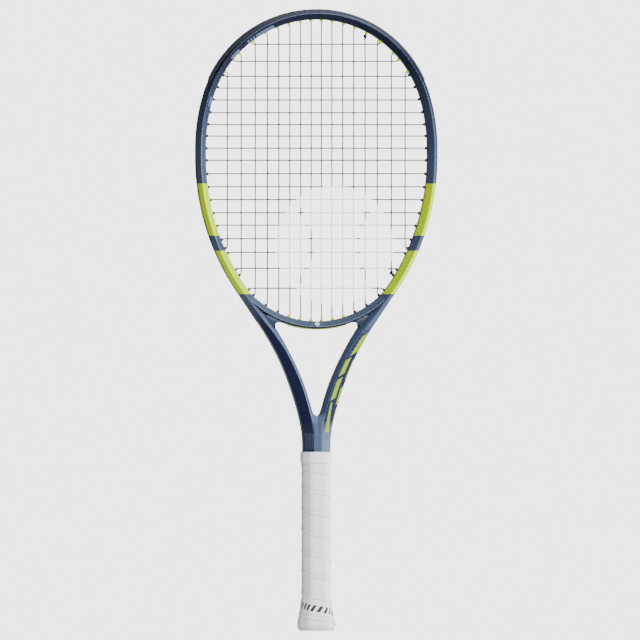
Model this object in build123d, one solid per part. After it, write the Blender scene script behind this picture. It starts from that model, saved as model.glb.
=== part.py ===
from build123d import *
from math import acos, asin, ceil, cos, degrees, pi, radians, sin, tan
import os

# A strung adult tennis racket, in millimetres. It stands on its butt: the origin is the centre of the
# butt's flat end, +Z runs up the racket to the crown of the head, X goes across the strings, and the
# front face looks towards -Y.

# ---- overall and hoop ----
LENGTH = 685.8
CROWN_RADIUS = 126.0
CROWN_TURN = 73.4
SHOULDER_RADIUS = 200.0
SIDE_RUN = 10.5
LOWER_RADIUS = 255.0
SHAFT_SLANT = 35.5
SHAFT_RADIUS = 305.0
STEM_SLANT = 12.0
STEM_RADIUS = 120.0

# ---- frame tube ----
TUBE_WIDTH = 10.8
BEAM = 24.0
HEAD_RIDGE = 0.38
INNER_WALL_FLAT = 10.0
OUTER_WALL_FLAT = 14.0
RIDGE_FLAT = 1.2
WALL = 1.5
STEM_WIDTH = 30.0
STEM_RIDGE = 0.74
SHAFT_FORM = [(0.0, 12.8, 0.43), (0.34, 13.6, 0.70), (0.67, 15.4, 0.74), (1.0, 15.3, 0.74)]
HANDLE_TUBE_WIDTH = 23.0
HANDLE_TUBE_DEPTH = 19.0
TUBE_END = 15.0
FORK_RISE = 31.6

# ---- string groove, grommets and bumper ----
GROOVE_WIDTH = 7.2
GROOVE_DEPTH = 2.4
STRIP_THICKNESS = 0.85
STRIP_CLEARANCE = 0.3
BARREL_WALL = 0.48
BARREL_CLEARANCE = 0.05
BARREL_STAND_OUT = 2.6
BUMPER_THICKNESS = 0.9
BUMPER_TURN = 66.0
BUMPER_SIDE = 2.0

# ---- bridge across the throat ----
BRIDGE_LEAVES_AT = 31.5
BRIDGE_WIDTH = 8.2
BRIDGE_DEPTH = 21.0
BRIDGE_RIDGE = 0.75
BRIDGE_INNER_FLAT = 9.0
BRIDGE_RIDGE_FLAT = 1.0
BRIDGE_OUTER_FLAT = 17.0
BRIDGE_HALF_TURN = 50.0
WEB_DEPTH = 18.0
WEB_TURN = 11.0
WEB_REACH = 19.0

# ---- string: each main's x as a share of the hoop's inner half width, each cross's drop of its height ----
STRING_RADIUS = 0.65
STRING_CLEARANCE = 0.05
STRING_LIFT = 0.15
BORE_CLEARANCE = 0.07
MOUTH_STAND_OFF = 1.2
MOUTH_BEND = 3.0
GROOVE_BEND = 1.6
STRAIGHT_ENOUGH = 0.05
SIDE_STEP = 16.0
MAIN_SHARE = [0.0461, 0.1407, 0.2385, 0.3379, 0.4406, 0.5505, 0.6774, 0.8019]
CROSS_SHARE = [0.0817, 0.1384, 0.1881, 0.2270, 0.2665, 0.3087, 0.3482, 0.3862, 0.4263, 0.4664,
               0.5107, 0.5541, 0.5966, 0.6400, 0.6813, 0.7262, 0.7714, 0.8245, 0.8905]
KNOT_REACH = 2.4
KNOT_TURNS = 3
KNOT_TAIL = 4.5

# ---- handle ----
GRIP_WIDTH = 32.6
GRIP_DEPTH = 29.4
GRIP_THICKNESS = 1.7
BEVEL_SHARE = 0.22
GRIP_TOP = 184.0
PALLET_TOP = 190.0
PALLET_BOTTOM = 14.0
COLLAR_HEIGHT = 13.2
COLLAR_WALL = 1.75
COLLAR_BULGE = 0.9
COLLAR_GAP = 0.3
COLLAR_BORE_GAP = 0.4
FINISHING_TAPE = 0.25
BUTT_FLARE = 9.8
BUTT_HEIGHT = 34.0
CAP_WALL = 1.2
CAP_FORM = [(9.0, 0.0), (16.0, 0.5), (24.0, 0.85)]
CAP_LEDGE = 2.5
GRIP_START = 3.0
CAP_FLOOR = 5.0
PLUG_RADIUS = 10.8
PLUG_SKIRT_RADIUS = 9.6
PLUG_FLANGE = 2.0
PLUG_LENGTH = 8.0
PLUG_GAP = 0.3
PLUG_SLOT = 3.0
NOTCH_WIDTH = 6.0
STAPLE_WIRE = 0.45
STAPLE_CROWN = 9.0
STAPLE_LEG = 4.0
CAP_STAPLE_HEIGHT = 28.0
START_STAPLE_HEIGHT = 26.0


# ---- the centreline of the frame tube's right half ----

STEM_HALF = STEM_WIDTH / 2
CROWN_Z = LENGTH - BUMPER_THICKNESS - TUBE_WIDTH / 2
STRING_PLANE = STRING_RADIUS + STRING_CLEARANCE
BARREL_BORE = STRING_PLANE + STRING_RADIUS + BORE_CLEARANCE
BARREL_RADIUS = BARREL_BORE + BARREL_WALL


def turned(x, z, heading, radius, turn):
    """Where an arc of this radius ends, heading in degrees below +X."""
    a, b = radians(heading), radians(heading + turn)
    return x + radius * (sin(b) - sin(a)), z + radius * (cos(b) - cos(a))


def shaft_run_length():
    """The straight part of the shaft that brings the tube onto the stem."""
    x, _ = turned(0, 0, 0, CROWN_RADIUS, CROWN_TURN)
    x, _ = turned(x, 0, CROWN_TURN, SHOULDER_RADIUS, 90 - CROWN_TURN)
    x, _ = turned(x, 0, 90, LOWER_RADIUS, SHAFT_SLANT)
    bends = SHAFT_RADIUS * (cos(radians(STEM_SLANT)) - cos(radians(SHAFT_SLANT)))
    bends += STEM_RADIUS * (1 - cos(radians(STEM_SLANT)))
    return (x - bends - STEM_HALF / 2) / sin(radians(SHAFT_SLANT))


class Run:
    """One arc (turn in degrees, minus for the other hand) or straight of the centreline."""

    def __init__(self, start, x, z, heading, radius, turn, length):
        self.start, self.x, self.z, self.heading = start, x, z, heading
        self.radius, self.turn, self.length = radius, turn, length

    def at(self, s):
        part = (s - self.start) / self.length
        if not self.radius:
            a = radians(self.heading)
            step = part * self.length
            return self.x + step * cos(a), self.z - step * sin(a), self.heading
        x, z = turned(self.x, self.z, self.heading, self.radius, self.turn * part)
        return x, z, self.heading + self.turn * part


def centreline():
    pieces = [(CROWN_RADIUS, CROWN_TURN), (SHOULDER_RADIUS, 90 - CROWN_TURN), (0, SIDE_RUN),
              (LOWER_RADIUS, SHAFT_SLANT), (0, shaft_run_length()),
              (-SHAFT_RADIUS, STEM_SLANT - SHAFT_SLANT), (-STEM_RADIUS, -STEM_SLANT)]
    runs, s, x, z, heading = [], 0.0, 0.0, CROWN_Z, 0.0
    for radius, amount in pieces:
        length = abs(radius * radians(amount)) if radius else amount
        run = Run(s, x, z, heading, radius, amount if radius else 0, length)
        runs.append(run)
        s += length
        x, z, heading = run.at(s)
    return runs


RUNS = centreline()
HOOP_END = RUNS[4].start
SHAFT_BEND = RUNS[5].start
STEM_BEND = RUNS[6].start
STEM_TOP = RUNS[6].start + RUNS[6].length
GROOVE_FLOOR = TUBE_WIDTH / 2 - GROOVE_DEPTH
STRING_LEVEL = GROOVE_FLOOR + STRIP_THICKNESS + STRING_LIFT + STRING_RADIUS
MOUTH_LEVEL = -TUBE_WIDTH / 2 - BARREL_STAND_OUT
CORNER_LEVEL = MOUTH_LEVEL - MOUTH_STAND_OFF


def run_at(s):
    return [run for run in RUNS if run.start <= s + 1e-9][-1]


def place(s, u=0.0, v=0.0):
    """A point at s along the hoop, minus s on the left, u outwards and v towards +Y."""
    x, z, heading = run_at(abs(s)).at(abs(s))
    a = radians(heading)
    x, z = x + u * sin(a), z + u * cos(a)
    return Vector(-x if s < 0 else x, v, z)


def outward(s):
    a = radians(run_at(abs(s)).at(abs(s))[2])
    return Vector(-sin(a) if s < 0 else sin(a), 0, cos(a))


def where(test, low, high):
    """The s between low and high where the test function changes sign."""
    for _ in range(60):
        middle = (low + high) / 2
        if test(low) * test(middle) <= 0:
            high = middle
        else:
            low = middle
    return (low + high) / 2


# ---- solids that follow the hoop ----

def section(s, corners):
    """The closed outline through the (u, v) corners, mirrored in v, at s."""
    outline = corners + [(u, -v) for u, v in reversed(corners)]
    return Face(Wire.make_polygon([place(s, u, v) for u, v in outline], close=True))


def along(corners, low, high):
    """The outline carried round the right half of the hoop from s = low to s = high."""
    solids = []
    for run in RUNS[:5]:
        begin, end = max(low, run.start), min(high, run.start + run.length)
        if end - begin < 1e-6:
            continue
        face = section(begin, corners)
        if run.radius:
            x, z, heading = run.at(begin)
            a = radians(heading)
            middle = (x - run.radius * sin(a), 0, z - run.radius * cos(a))
            turn = degrees((end - begin) / run.radius)
            solids.append(revolve(face, axis=Axis(middle, (0, 1, 0)), revolution_arc=turn))
        else:
            solids.append(extrude(face, amount=end - begin, dir=(place(end) - place(begin)).normalized()))
    return solids[0].fuse(*solids[1:]) if len(solids) > 1 else solids[0]


def both_sides(half):
    return half.fuse(half.mirror(Plane.YZ)).clean()


def tube_corners(width, ridge, depth, inner_flat=INNER_WALL_FLAT, outer_flat=OUTER_WALL_FLAT):
    """The +v half of the tube's outline: inner wall, ridge, outer wall."""
    peak = width / 2 - ridge * width
    return [(-width / 2, inner_flat / 2), (peak - RIDGE_FLAT / 2, depth / 2),
            (peak + RIDGE_FLAT / 2, depth / 2), (width / 2, outer_flat / 2)]


def core_corners(width, ridge, depth, floor, inner_flat=INNER_WALL_FLAT, outer_flat=OUTER_WALL_FLAT):
    """The hollow inside the tube, a wall's thickness in from its outline."""
    peak = width / 2 - ridge * width
    return [(-width / 2 + WALL, inner_flat / 2 - WALL / 2), (min(peak, floor - 0.4), depth / 2 - 1.4 * WALL),
            (floor, min(outer_flat / 2 + 0.8 * WALL, depth / 2 - 1.7 * WALL))]


def shaft_stations():
    """Widths and ridges of the tube below the hoop: (s, width, ridge, outer limit of the core)."""
    groove_core = GROOVE_FLOOR - WALL
    stations = [(HOOP_END, TUBE_WIDTH, HEAD_RIDGE, groove_core),
                (SHAFT_BEND, *SHAFT_FORM[0][1:], groove_core)]
    steps = 9
    for i in range(1, steps + 1):
        part = i / steps
        below = max(k for k, form in enumerate(SHAFT_FORM[:-1]) if form[0] < part)
        (p0, w0, r0), (p1, w1, r1) = SHAFT_FORM[below:below + 2]
        blend = (part - p0) / (p1 - p0)
        width = w0 + (w1 - w0) * blend
        stations.append((SHAFT_BEND + (STEM_BEND - SHAFT_BEND) * part, width, r0 + (r1 - r0) * blend,
                         width / 2 - WALL))
    middle = (stations[-1][1] + STEM_HALF) / 2
    return stations + [((STEM_BEND + STEM_TOP) / 2, middle, STEM_RIDGE, middle / 2 - WALL)]


def level_section(z, width, depth, corners_of, *more):
    """A section of the stem's right half at height z, its inner wall on the centre plane."""
    corners = corners_of(width, STEM_RIDGE, depth, *more)
    outline = corners + [(u, -v) for u, v in reversed(corners)]
    return Face(Wire.make_polygon([Vector(width / 2 + u, v, z) for u, v in outline], close=True))


def shaft(hollow):
    """One shaft and its half of the stem and handle tube, solid or as the core that empties it."""
    faces = []
    for s, width, ridge, floor in shaft_stations():
        corners = core_corners(width, ridge, BEAM, floor) if hollow else tube_corners(width, ridge, BEAM)
        faces.append(section(s, corners))
    stem_z = place(STEM_TOP).Z
    narrow = HANDLE_TUBE_WIDTH / 2
    levels = [(stem_z, STEM_HALF, BEAM), (COLLAR_TOP + 1, STEM_HALF, BEAM),
              (PALLET_TOP - 4, narrow, HANDLE_TUBE_DEPTH),
              (TUBE_END - (1 if hollow else 0), narrow, HANDLE_TUBE_DEPTH)]
    for z, width, depth in levels:
        flats = (10.0, 10.0) if depth < BEAM else (INNER_WALL_FLAT, OUTER_WALL_FLAT)
        if hollow:
            faces.append(level_section(z, width, depth, core_corners, width / 2 - WALL, *flats))
        else:
            faces.append(level_section(z, width, depth, tube_corners, *flats))
    return loft(faces, ruled=True)


COLLAR_BOTTOM = GRIP_TOP + COLLAR_GAP
COLLAR_TOP = COLLAR_BOTTOM + COLLAR_HEIGHT
SLOT_CORNERS = [(GROOVE_FLOOR, GROOVE_WIDTH / 2), (TUBE_WIDTH, GROOVE_WIDTH / 2)]


def hairpin_envelope():
    """The outside of the frame tube, filled, with no groove."""
    hoop = along(tube_corners(TUBE_WIDTH, HEAD_RIDGE, BEAM), 0, HOOP_END)
    half = hoop.fuse(shaft(hollow=False))
    return both_sides(half)


def fork_fill():
    """The web moulded between the shafts where they come together above the stem."""
    low, floor, foot = place(STEM_TOP).Z, place(STEM_TOP).Z + FORK_RISE, COLLAR_TOP - 1
    peak_low = STEM_HALF * (1 - STEM_RIDGE)
    s = where(lambda s: place(s).Z - floor, SHAFT_BEND, STEM_TOP)
    width = SHAFT_FORM[-1][1]
    peak_high = place(s, width / 2 - STEM_RIDGE * width).X
    outline = [(-peak_low, foot), (peak_low, foot), (peak_low, low),
               (peak_high, floor), (-peak_high, floor), (-peak_low, low)]
    face = Face(Wire.make_polygon([Vector(x, -BEAM / 2, z) for x, z in outline], close=True))
    return extrude(face, amount=BEAM, dir=(0, 1, 0))


# ---- where each string end goes through ----

class End:
    """One string end: its bend at the grommet's mouth, its way out and where it meets the groove."""

    def __init__(self, corner, direction, out, s=None, turn=None):
        self.corner, self.direction, self.out, self.s, self.turn = corner, direction, out, s, turn


def hoop_end(s):
    return End(place(s, CORNER_LEVEL), outward(s), place(s, STRING_LEVEL), s=s)


def main_head_end(x):
    s = where(lambda s: place(s, CORNER_LEVEL).X - x, 0, RUNS[1].start)
    return hoop_end(s)


def cross_end(z):
    return hoop_end(where(lambda s: place(s, CORNER_LEVEL).Z - z, 0, SHAFT_BEND))


LEAVE_S = RUNS[3].start + LOWER_RADIUS * radians(BRIDGE_LEAVES_AT)
BRIDGE_RADIUS = place(LEAVE_S).X / cos(radians(BRIDGE_LEAVES_AT))
BRIDGE_Z = place(LEAVE_S).Z + BRIDGE_RADIUS * sin(radians(BRIDGE_LEAVES_AT))
BRIDGE_INNER = BRIDGE_RADIUS - BRIDGE_WIDTH / 2
BRIDGE_OUTER = BRIDGE_RADIUS + BRIDGE_WIDTH / 2
BRIDGE_FLOOR = BRIDGE_OUTER - GROOVE_DEPTH
BRIDGE_STRING = BRIDGE_FLOOR + STRIP_THICKNESS + STRING_LIFT + STRING_RADIUS
BRIDGE_CORNER = BRIDGE_INNER - BARREL_STAND_OUT - MOUTH_STAND_OFF
YELLOW_BOTTOM_MAINS = 3
BRIDGE_MAINS = 4
SHAFT_MAINS = 6


def bridge_point(turn, radius, v=0.0):
    """A point on the bridge, turn degrees from its lowest point towards +X."""
    a = radians(turn)
    return Vector(radius * sin(a), v, BRIDGE_Z - radius * cos(a))


def main_throat_end(index):
    """The bottom of a right-hand main: in the bridge, through bridge and shaft, or in the hoop."""
    x = MAIN_X[index]
    if index < SHAFT_MAINS:
        turn = degrees(asin(x / BRIDGE_CORNER))
        direction = (bridge_point(turn, 2) - bridge_point(turn, 1)).normalized()
        if index < BRIDGE_MAINS:
            out = bridge_point(turn, BRIDGE_STRING)
            return End(bridge_point(turn, BRIDGE_CORNER), direction, out, turn=turn)
        reach = where(lambda r: level_at(bridge_point(turn, r)) - STRING_LEVEL,
                      BRIDGE_RADIUS, BRIDGE_RADIUS + 40)
        out = bridge_point(turn, reach)
        return End(bridge_point(turn, BRIDGE_CORNER), direction, out, s=nearest_s(out))
    return hoop_end(where(lambda s: place(s, CORNER_LEVEL).X - x, RUNS[3].start, SHAFT_BEND))


def nearest_s(point):
    """The s on the lower hoop or shaft whose cross-section holds the point."""
    def ahead(s):
        x, z, heading = run_at(s).at(s)
        a = radians(heading)
        return (point.X - x) * cos(a) - (point.Z - z) * sin(a)
    return where(ahead, RUNS[3].start, STEM_BEND)


def level_at(point):
    s = nearest_s(point)
    return (point - place(s)).dot(outward(s))


INNER_HALF_WIDTH = place(RUNS[2].start, -TUBE_WIDTH / 2).X
INNER_TOP = place(0, -TUBE_WIDTH / 2).Z
INNER_HEIGHT = INNER_TOP - (BRIDGE_Z - BRIDGE_INNER)
MAIN_X = [share * INNER_HALF_WIDTH for share in MAIN_SHARE]
HEAD_ENDS = [main_head_end(x) for x in MAIN_X]
THROAT_ENDS = [main_throat_end(index) for index in range(len(MAIN_X))]
CROSS_ENDS = [cross_end(INNER_TOP - share * INNER_HEIGHT) for share in CROSS_SHARE]


def mirrored(end):
    flip = lambda p: Vector(-p.X, p.Y, p.Z)
    return End(flip(end.corner), flip(end.direction), flip(end.out),
               None if end.s is None else -end.s, None if end.turn is None else -end.turn)


def barrel(end, radius, stand_out=BARREL_STAND_OUT, extra=0.0):
    """A cylinder on the end's way through the frame, from the grommet's mouth to past the groove."""
    start = end.corner + end.direction * (MOUTH_STAND_OFF + BARREL_STAND_OUT - stand_out)
    reach = (end.out - start).length + extra
    return Solid.make_cylinder(radius, reach, Plane(start, z_dir=end.direction))


# ---- frame pieces ----

def all_ends():
    right = HEAD_ENDS + THROAT_ENDS + CROSS_ENDS
    return right + [mirrored(end) for end in right]


def drills():
    """The holes for every grommet barrel."""
    radius = BARREL_RADIUS + BARREL_CLEARANCE
    return [barrel(end, radius, BARREL_STAND_OUT + MOUTH_STAND_OFF, TUBE_WIDTH) for end in all_ends()]


def groove():
    """The string groove round the outside, from the crown to below the last main's way out."""
    last = max(end.s for end in THROAT_ENDS if end.s) + 2.5 * BARREL_RADIUS
    return both_sides(along(SLOT_CORNERS, 0, last))


def hoop_core():
    corners = core_corners(TUBE_WIDTH, HEAD_RIDGE, BEAM, GROOVE_FLOOR - WALL)
    return both_sides(along(corners, 0, HOOP_END).fuse(shaft(hollow=True)))


def frame_hairpin(envelope, groove_tool, holes):
    solid = envelope.fuse(fork_fill()).cut(hoop_core()).cut(groove_tool)
    return solid.cut(*holes)


def bridge_ring(corners, half_turn):
    """An outline of (radius, v) corners, mirrored in v, turned about the bridge's centre."""
    outline = corners + [(r, -v) for r, v in reversed(corners)]
    face = Face(Wire.make_polygon([bridge_point(half_turn, r, v) for r, v in outline], close=True))
    return revolve(face, axis=Axis((0, 0, BRIDGE_Z), (0, 1, 0)), revolution_arc=2 * half_turn)


def corner_web():
    """Two cheeks that fill the corner under the bridge's right end, one each side of the groove."""
    centre = Vector(0, 0, BRIDGE_Z)
    meets = where(lambda s: (place(s, -TUBE_WIDTH / 2) - centre).length - BRIDGE_OUTER, LEAVE_S, STEM_BEND)
    turn = degrees(asin(place(meets, -TUBE_WIDTH / 2).X / BRIDGE_OUTER))
    outline = [bridge_point(turn - WEB_TURN, BRIDGE_OUTER - 1), place(meets + WEB_REACH, -TUBE_WIDTH / 2),
               place(meets), bridge_point(turn, BRIDGE_RADIUS)]
    slot, side = GROOVE_WIDTH / 2, WEB_DEPTH / 2 - GROOVE_WIDTH / 2
    face = Face(Wire.make_polygon([Vector(p.X, slot, p.Z) for p in outline], close=True))
    cheek = extrude(face, amount=side, dir=(0, 1, 0))
    return cheek, cheek.mirror(Plane.XZ)


def throat_bridge(envelope, holes):
    peak, edge = BRIDGE_INNER + BRIDGE_RIDGE * BRIDGE_WIDTH, BRIDGE_RIDGE_FLAT / 2
    inner, outer = BRIDGE_INNER_FLAT / 2, BRIDGE_OUTER_FLAT / 2
    ring = bridge_ring([(BRIDGE_INNER, inner), (peak - edge, BRIDGE_DEPTH / 2),
                        (peak + edge, BRIDGE_DEPTH / 2), (BRIDGE_OUTER, outer)], BRIDGE_HALF_TURN)
    past_the_end = BRIDGE_HALF_TURN + 2
    core = bridge_ring([(BRIDGE_INNER + WALL, inner - 0.6 * WALL), (BRIDGE_FLOOR - WALL, outer - 0.9 * WALL)],
                       past_the_end)
    slot = bridge_ring([(BRIDGE_FLOOR, GROOVE_WIDTH / 2), (BRIDGE_OUTER + 3, GROOVE_WIDTH / 2)], past_the_end)
    cheeks = corner_web()
    solid = ring.cut(core).cut(slot)
    solid = solid.fuse(*cheeks, *[cheek.mirror(Plane.YZ) for cheek in cheeks])
    solid = solid.cut(core).cut(envelope).cut(*holes)
    return max(solid.solids(), key=lambda piece: piece.volume)


def strip(ends, low, high):
    """A moulded strip lying in the groove from s = low to high, with a barrel at each string end."""
    flat = GROOVE_WIDTH / 2 - STRIP_CLEARANCE
    top = GROOVE_FLOOR + STRIP_THICKNESS
    base = along([(GROOVE_FLOOR, flat), (top, flat)], low, high)
    past = 5 * BARREL_RADIUS
    outside = along([(top, 4 * flat), (top + past, 4 * flat)], max(low - past, 0), high + past)
    if low == 0:
        base, outside = both_sides(base), both_sides(outside)
        ends = ends + [mirrored(end) for end in ends]
    solid = base.fuse(*[barrel(end, BARREL_RADIUS) for end in ends]).cut(outside)
    return solid.cut(*[barrel(end, BARREL_BORE, BARREL_STAND_OUT + 1, 5) for end in ends])


def crown_grommet_strip():
    ends = HEAD_ENDS + CROSS_ENDS[:2]
    return strip(ends, 0, max(end.s for end in ends) + 2.0)


def side_grommet_strip():
    ends = CROSS_ENDS[2:] + THROAT_ENDS[BRIDGE_MAINS:]
    low = max(end.s for end in HEAD_ENDS + CROSS_ENDS[:2]) + 2.5
    high = max(end.s for end in ends) + 2.2 * BARREL_RADIUS
    return strip(ends, low, high)


def bridge_strip(ends, low, high):
    """The same moulding in the bridge's own groove, between two turns in degrees."""
    flat = GROOVE_WIDTH / 2 - STRIP_CLEARANCE
    top = BRIDGE_FLOOR + STRIP_THICKNESS
    outline = [(BRIDGE_FLOOR, flat), (top, flat), (top, -flat), (BRIDGE_FLOOR, -flat)]
    face = Face(Wire.make_polygon([bridge_point(high, r, v) for r, v in outline], close=True))
    solid = revolve(face, axis=Axis((0, 0, BRIDGE_Z), (0, 1, 0)), revolution_arc=high - low)
    solid = solid.fuse(*[barrel(end, BARREL_RADIUS, extra=-STRING_RADIUS - STRING_CLEARANCE) for end in ends])
    return solid.cut(*[barrel(end, BARREL_BORE, BARREL_STAND_OUT + 1, 5) for end in ends])


def bridge_grommet_strip():
    ends = THROAT_ENDS[:YELLOW_BOTTOM_MAINS]
    edge = ends[-1].turn + 1.5
    return bridge_strip(ends + [mirrored(end) for end in ends], -edge, edge)


def bridge_end_grommets():
    """The black grommet at each end of the bridge's own groove."""
    end = THROAT_ENDS[BRIDGE_MAINS - 1]
    right = bridge_strip([end], end.turn - 1.9, end.turn + 1.7)
    return Compound([right.mirror(Plane.YZ).solid(), right.solid()])


def bumper_guard():
    """The scuff guard round the crown: a thin channel over the groove and the outer bevels."""
    wall, flat, side = TUBE_WIDTH / 2, OUTER_WALL_FLAT / 2, BUMPER_SIDE
    corners = [(wall, flat), (wall - 0.7 * side, flat + side), (wall - 0.35 * side, flat + 1.3 * side),
               (wall + BUMPER_THICKNESS, flat + 0.2 * side)]
    outline = [(wall, 0.0)] + corners + [(wall + BUMPER_THICKNESS, 0.0)]
    halves = []
    for sign in (1, -1):
        face = Face(Wire.make_polygon([place(0, u, sign * v) for u, v in outline], close=True))
        middle = (0, 0, CROWN_Z - CROWN_RADIUS)
        for turn in (BUMPER_TURN, -BUMPER_TURN):
            halves.append(revolve(face, axis=Axis(middle, (0, 1, 0)), revolution_arc=turn))
    return halves[0].fuse(*halves[1:]).clean()


# ---- string ----

def rounded_path(points, radii):
    """Straight runs through the points joined by tangent arcs, one radius for each inner point."""
    edges, last = [], points[0]
    for before, corner, after, radius in zip(points, points[1:], points[2:], radii):
        back, on = (before - corner).normalized(), (after - corner).normalized()
        half = acos(max(-1, min(1, back.dot(on)))) / 2
        if degrees(half) > 90 - STRAIGHT_ENOUGH:
            edges.append(Edge.make_line(last, corner))
            last = corner
            continue
        reach = radius / tan(half)
        begin, end = corner + back * reach, corner + on * reach
        bisector = (back + on).normalized()
        middle = corner + bisector * (radius / sin(half) - radius)
        edges.append(Edge.make_line(last, begin))
        edges.append(Edge.make_three_point_arc(begin, middle, end))
        last = end
    edges.append(Edge.make_line(last, points[-1]))
    return Wire(edges)


class Route:
    """The string's corner points, gathered in the order a stringer pulls it through."""

    def __init__(self):
        self.points, self.bends, self.last_end = [], [], None

    def add(self, point, bend):
        self.points.append(point)
        self.bends.append(bend)

    def inwards(self, end, y):
        self.add(Vector(end.out.X, y, end.out.Z), GROOVE_BEND)
        self.add(Vector(end.corner.X, y, end.corner.Z), MOUTH_BEND)

    def outwards(self, end, y):
        self.add(Vector(end.corner.X, y, end.corner.Z), MOUTH_BEND)
        self.add(Vector(end.out.X, y, end.out.Z), GROOVE_BEND)

    def lie(self, low, high, y_of, step=7.0):
        """Lie in the hoop's groove between two ends, on the strip."""
        count = ceil(abs(high - low) / step)
        for i in range(1, count):
            s = low + (high - low) * i / count
            self.add(place(s, STRING_LEVEL, y_of(s)), None)

    def wire(self):
        """Small turns take the largest arc that their runs allow."""
        radii = []
        for before, corner, after, bend in zip(self.points, self.points[1:], self.points[2:], self.bends[1:]):
            back, on = before - corner, after - corner
            half = (180 - back.get_angle(on)) / 2
            run = min(back.length, on.length)
            largest = 0.45 * run / tan(radians(max(half, 0.05)))
            radii.append(min(bend or largest, largest))
        return rounded_path(self.points, radii), radii


def groove_hop(route, start, finish, y):
    """Run along the outside from one end to its neighbour, in the hoop's or the bridge's groove."""
    if start.s is not None and finish.s is not None:
        route.lie(start.s, finish.s, lambda s: y)
    elif start.turn is not None and finish.turn is not None:
        middle = (start.turn + finish.turn) / 2
        route.add(bridge_point(middle, BRIDGE_STRING, y), None)


def string_route():
    """One string: 16 mains from the centre outwards, then 19 crosses down from the crown."""
    y_main, y_cross, y_tail = STRING_PLANE, -STRING_PLANE, -3 * STRING_PLANE
    route = Route()
    head_left = [mirrored(end) for end in HEAD_ENDS]
    throat_left = [mirrored(end) for end in THROAT_ENDS]
    cross_left = [mirrored(end) for end in CROSS_ENDS]

    def half(heads, throats, outer_to_inner):
        """The eight mains of one side, joined at the throat and the head by turns."""
        order = range(len(heads))
        order = reversed(order) if outer_to_inner else order
        for i in order:
            goes_down = (i % 2 == 0) != outer_to_inner
            first, second = (heads[i], throats[i]) if goes_down else (throats[i], heads[i])
            if route.points and route.last_end is not None:
                groove_hop(route, route.last_end, first, y_main)
            route.inwards(first, y_main)
            route.outwards(second, y_main)
            route.last_end = second

    # the short side starts at its knot, by the fifth main's mouth
    knot_main, last_main = HEAD_ENDS[4], HEAD_ENDS[-1]
    tail = knot_main.corner - knot_main.direction * KNOT_REACH
    route.add(Vector(tail.X, y_cross, tail.Z), None)
    route.outwards(knot_main, y_cross)
    low, high = knot_main.s, last_main.s

    def tail_y(s):
        if s < low + SIDE_STEP:
            return y_cross + (y_tail - y_cross) * (s - low) / SIDE_STEP
        if s > high - SIDE_STEP:
            return y_main + (y_tail - y_main) * (high - s) / SIDE_STEP
        return y_tail
    route.lie(low, high, tail_y)
    half(HEAD_ENDS, THROAT_ENDS, outer_to_inner=True)
    half(head_left, throat_left, outer_to_inner=False)

    # the long side crosses over to the first cross on the left and works down
    def over_y(s):
        change_high, change_low = -cross_left[1].s - 2.0, -head_left[6].s + 2.5
        part = min(1, max(0, (-s - change_low) / (change_high - change_low)))
        return y_cross + (y_main - y_cross) * part
    route.lie(head_left[-1].s, cross_left[0].s, over_y, step=4.5)
    for i, (left, right) in enumerate(zip(cross_left, CROSS_ENDS)):
        first, second = (left, right) if i % 2 == 0 else (right, left)
        if i:
            groove_hop(route, route.last_end, first, y_cross)
        route.inwards(first, y_cross)
        route.outwards(second, y_cross)
        route.last_end = second
    finish = THROAT_ENDS[6]
    groove_hop(route, route.last_end, finish, y_cross)
    route.inwards(finish, y_cross)
    tail = finish.corner - finish.direction * KNOT_REACH
    route.add(Vector(tail.X, y_cross, tail.Z), None)
    return route


def string():
    wire, radii = string_route().wire()
    start = wire @ 0
    disc = Face(Wire.make_circle(STRING_RADIUS, Plane(start, z_dir=wire % 0)))
    solid = sweep(disc, path=wire)
    print("string length", round(wire.length, 1), "tightest bend", round(min(radii), 2),
          "volume share", round(solid.volume / (wire.length * pi * STRING_RADIUS ** 2), 4))
    return solid


def knot(end, towards_z, lean):
    """A hitch round a main beside the grommet's mouth: turns of string and a cut tail."""
    x, z = end.corner.X, end.corner.Z + towards_z * (KNOT_REACH + 0.6)
    pitch, wire = 1.9 * STRING_RADIUS, 0.96 * STRING_RADIUS
    ring = STRING_RADIUS + STRING_CLEARANCE + wire
    turns = [Solid.make_torus(ring, wire, Plane((x, STRING_PLANE, z + towards_z * pitch * i)))
             for i in range(KNOT_TURNS)]
    root = Vector(x + lean * ring, STRING_PLANE, z + towards_z * pitch)
    tail = Solid.make_cylinder(wire, KNOT_TAIL, Plane(root, z_dir=(lean, -0.25, towards_z * 0.9)))
    return turns[0].fuse(*turns[1:], tail)


def string_knots(cord):
    top = knot(HEAD_ENDS[4], -1, -1)
    low = knot(THROAT_ENDS[6], 1, -1)
    pieces = []
    for piece in (top, low):
        left = piece.cut(cord)
        pieces.append(max(left.solids(), key=lambda solid: solid.volume))
    return Compound(pieces)


# ---- handle ----

def octagon(z, width, depth):
    """The eight-sided handle section at height z."""
    bevel = BEVEL_SHARE * width
    w, d = width / 2, depth / 2
    corners = [(w, d - bevel), (w - bevel, d), (bevel - w, d), (-w, d - bevel),
               (-w, bevel - d), (bevel - w, -d), (w - bevel, -d), (w, bevel - d)]
    return Face(Wire.make_polygon([Vector(x, y, z) for x, y in corners], close=True))


def octagons(levels):
    return loft([octagon(*level) for level in levels], ruled=True)


PALLET_WIDTH = GRIP_WIDTH - 2 * GRIP_THICKNESS
PALLET_DEPTH = GRIP_DEPTH - 2 * GRIP_THICKNESS
BUTT_WIDTH = PALLET_WIDTH + BUTT_FLARE
BUTT_DEPTH = PALLET_DEPTH + BUTT_FLARE


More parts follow.
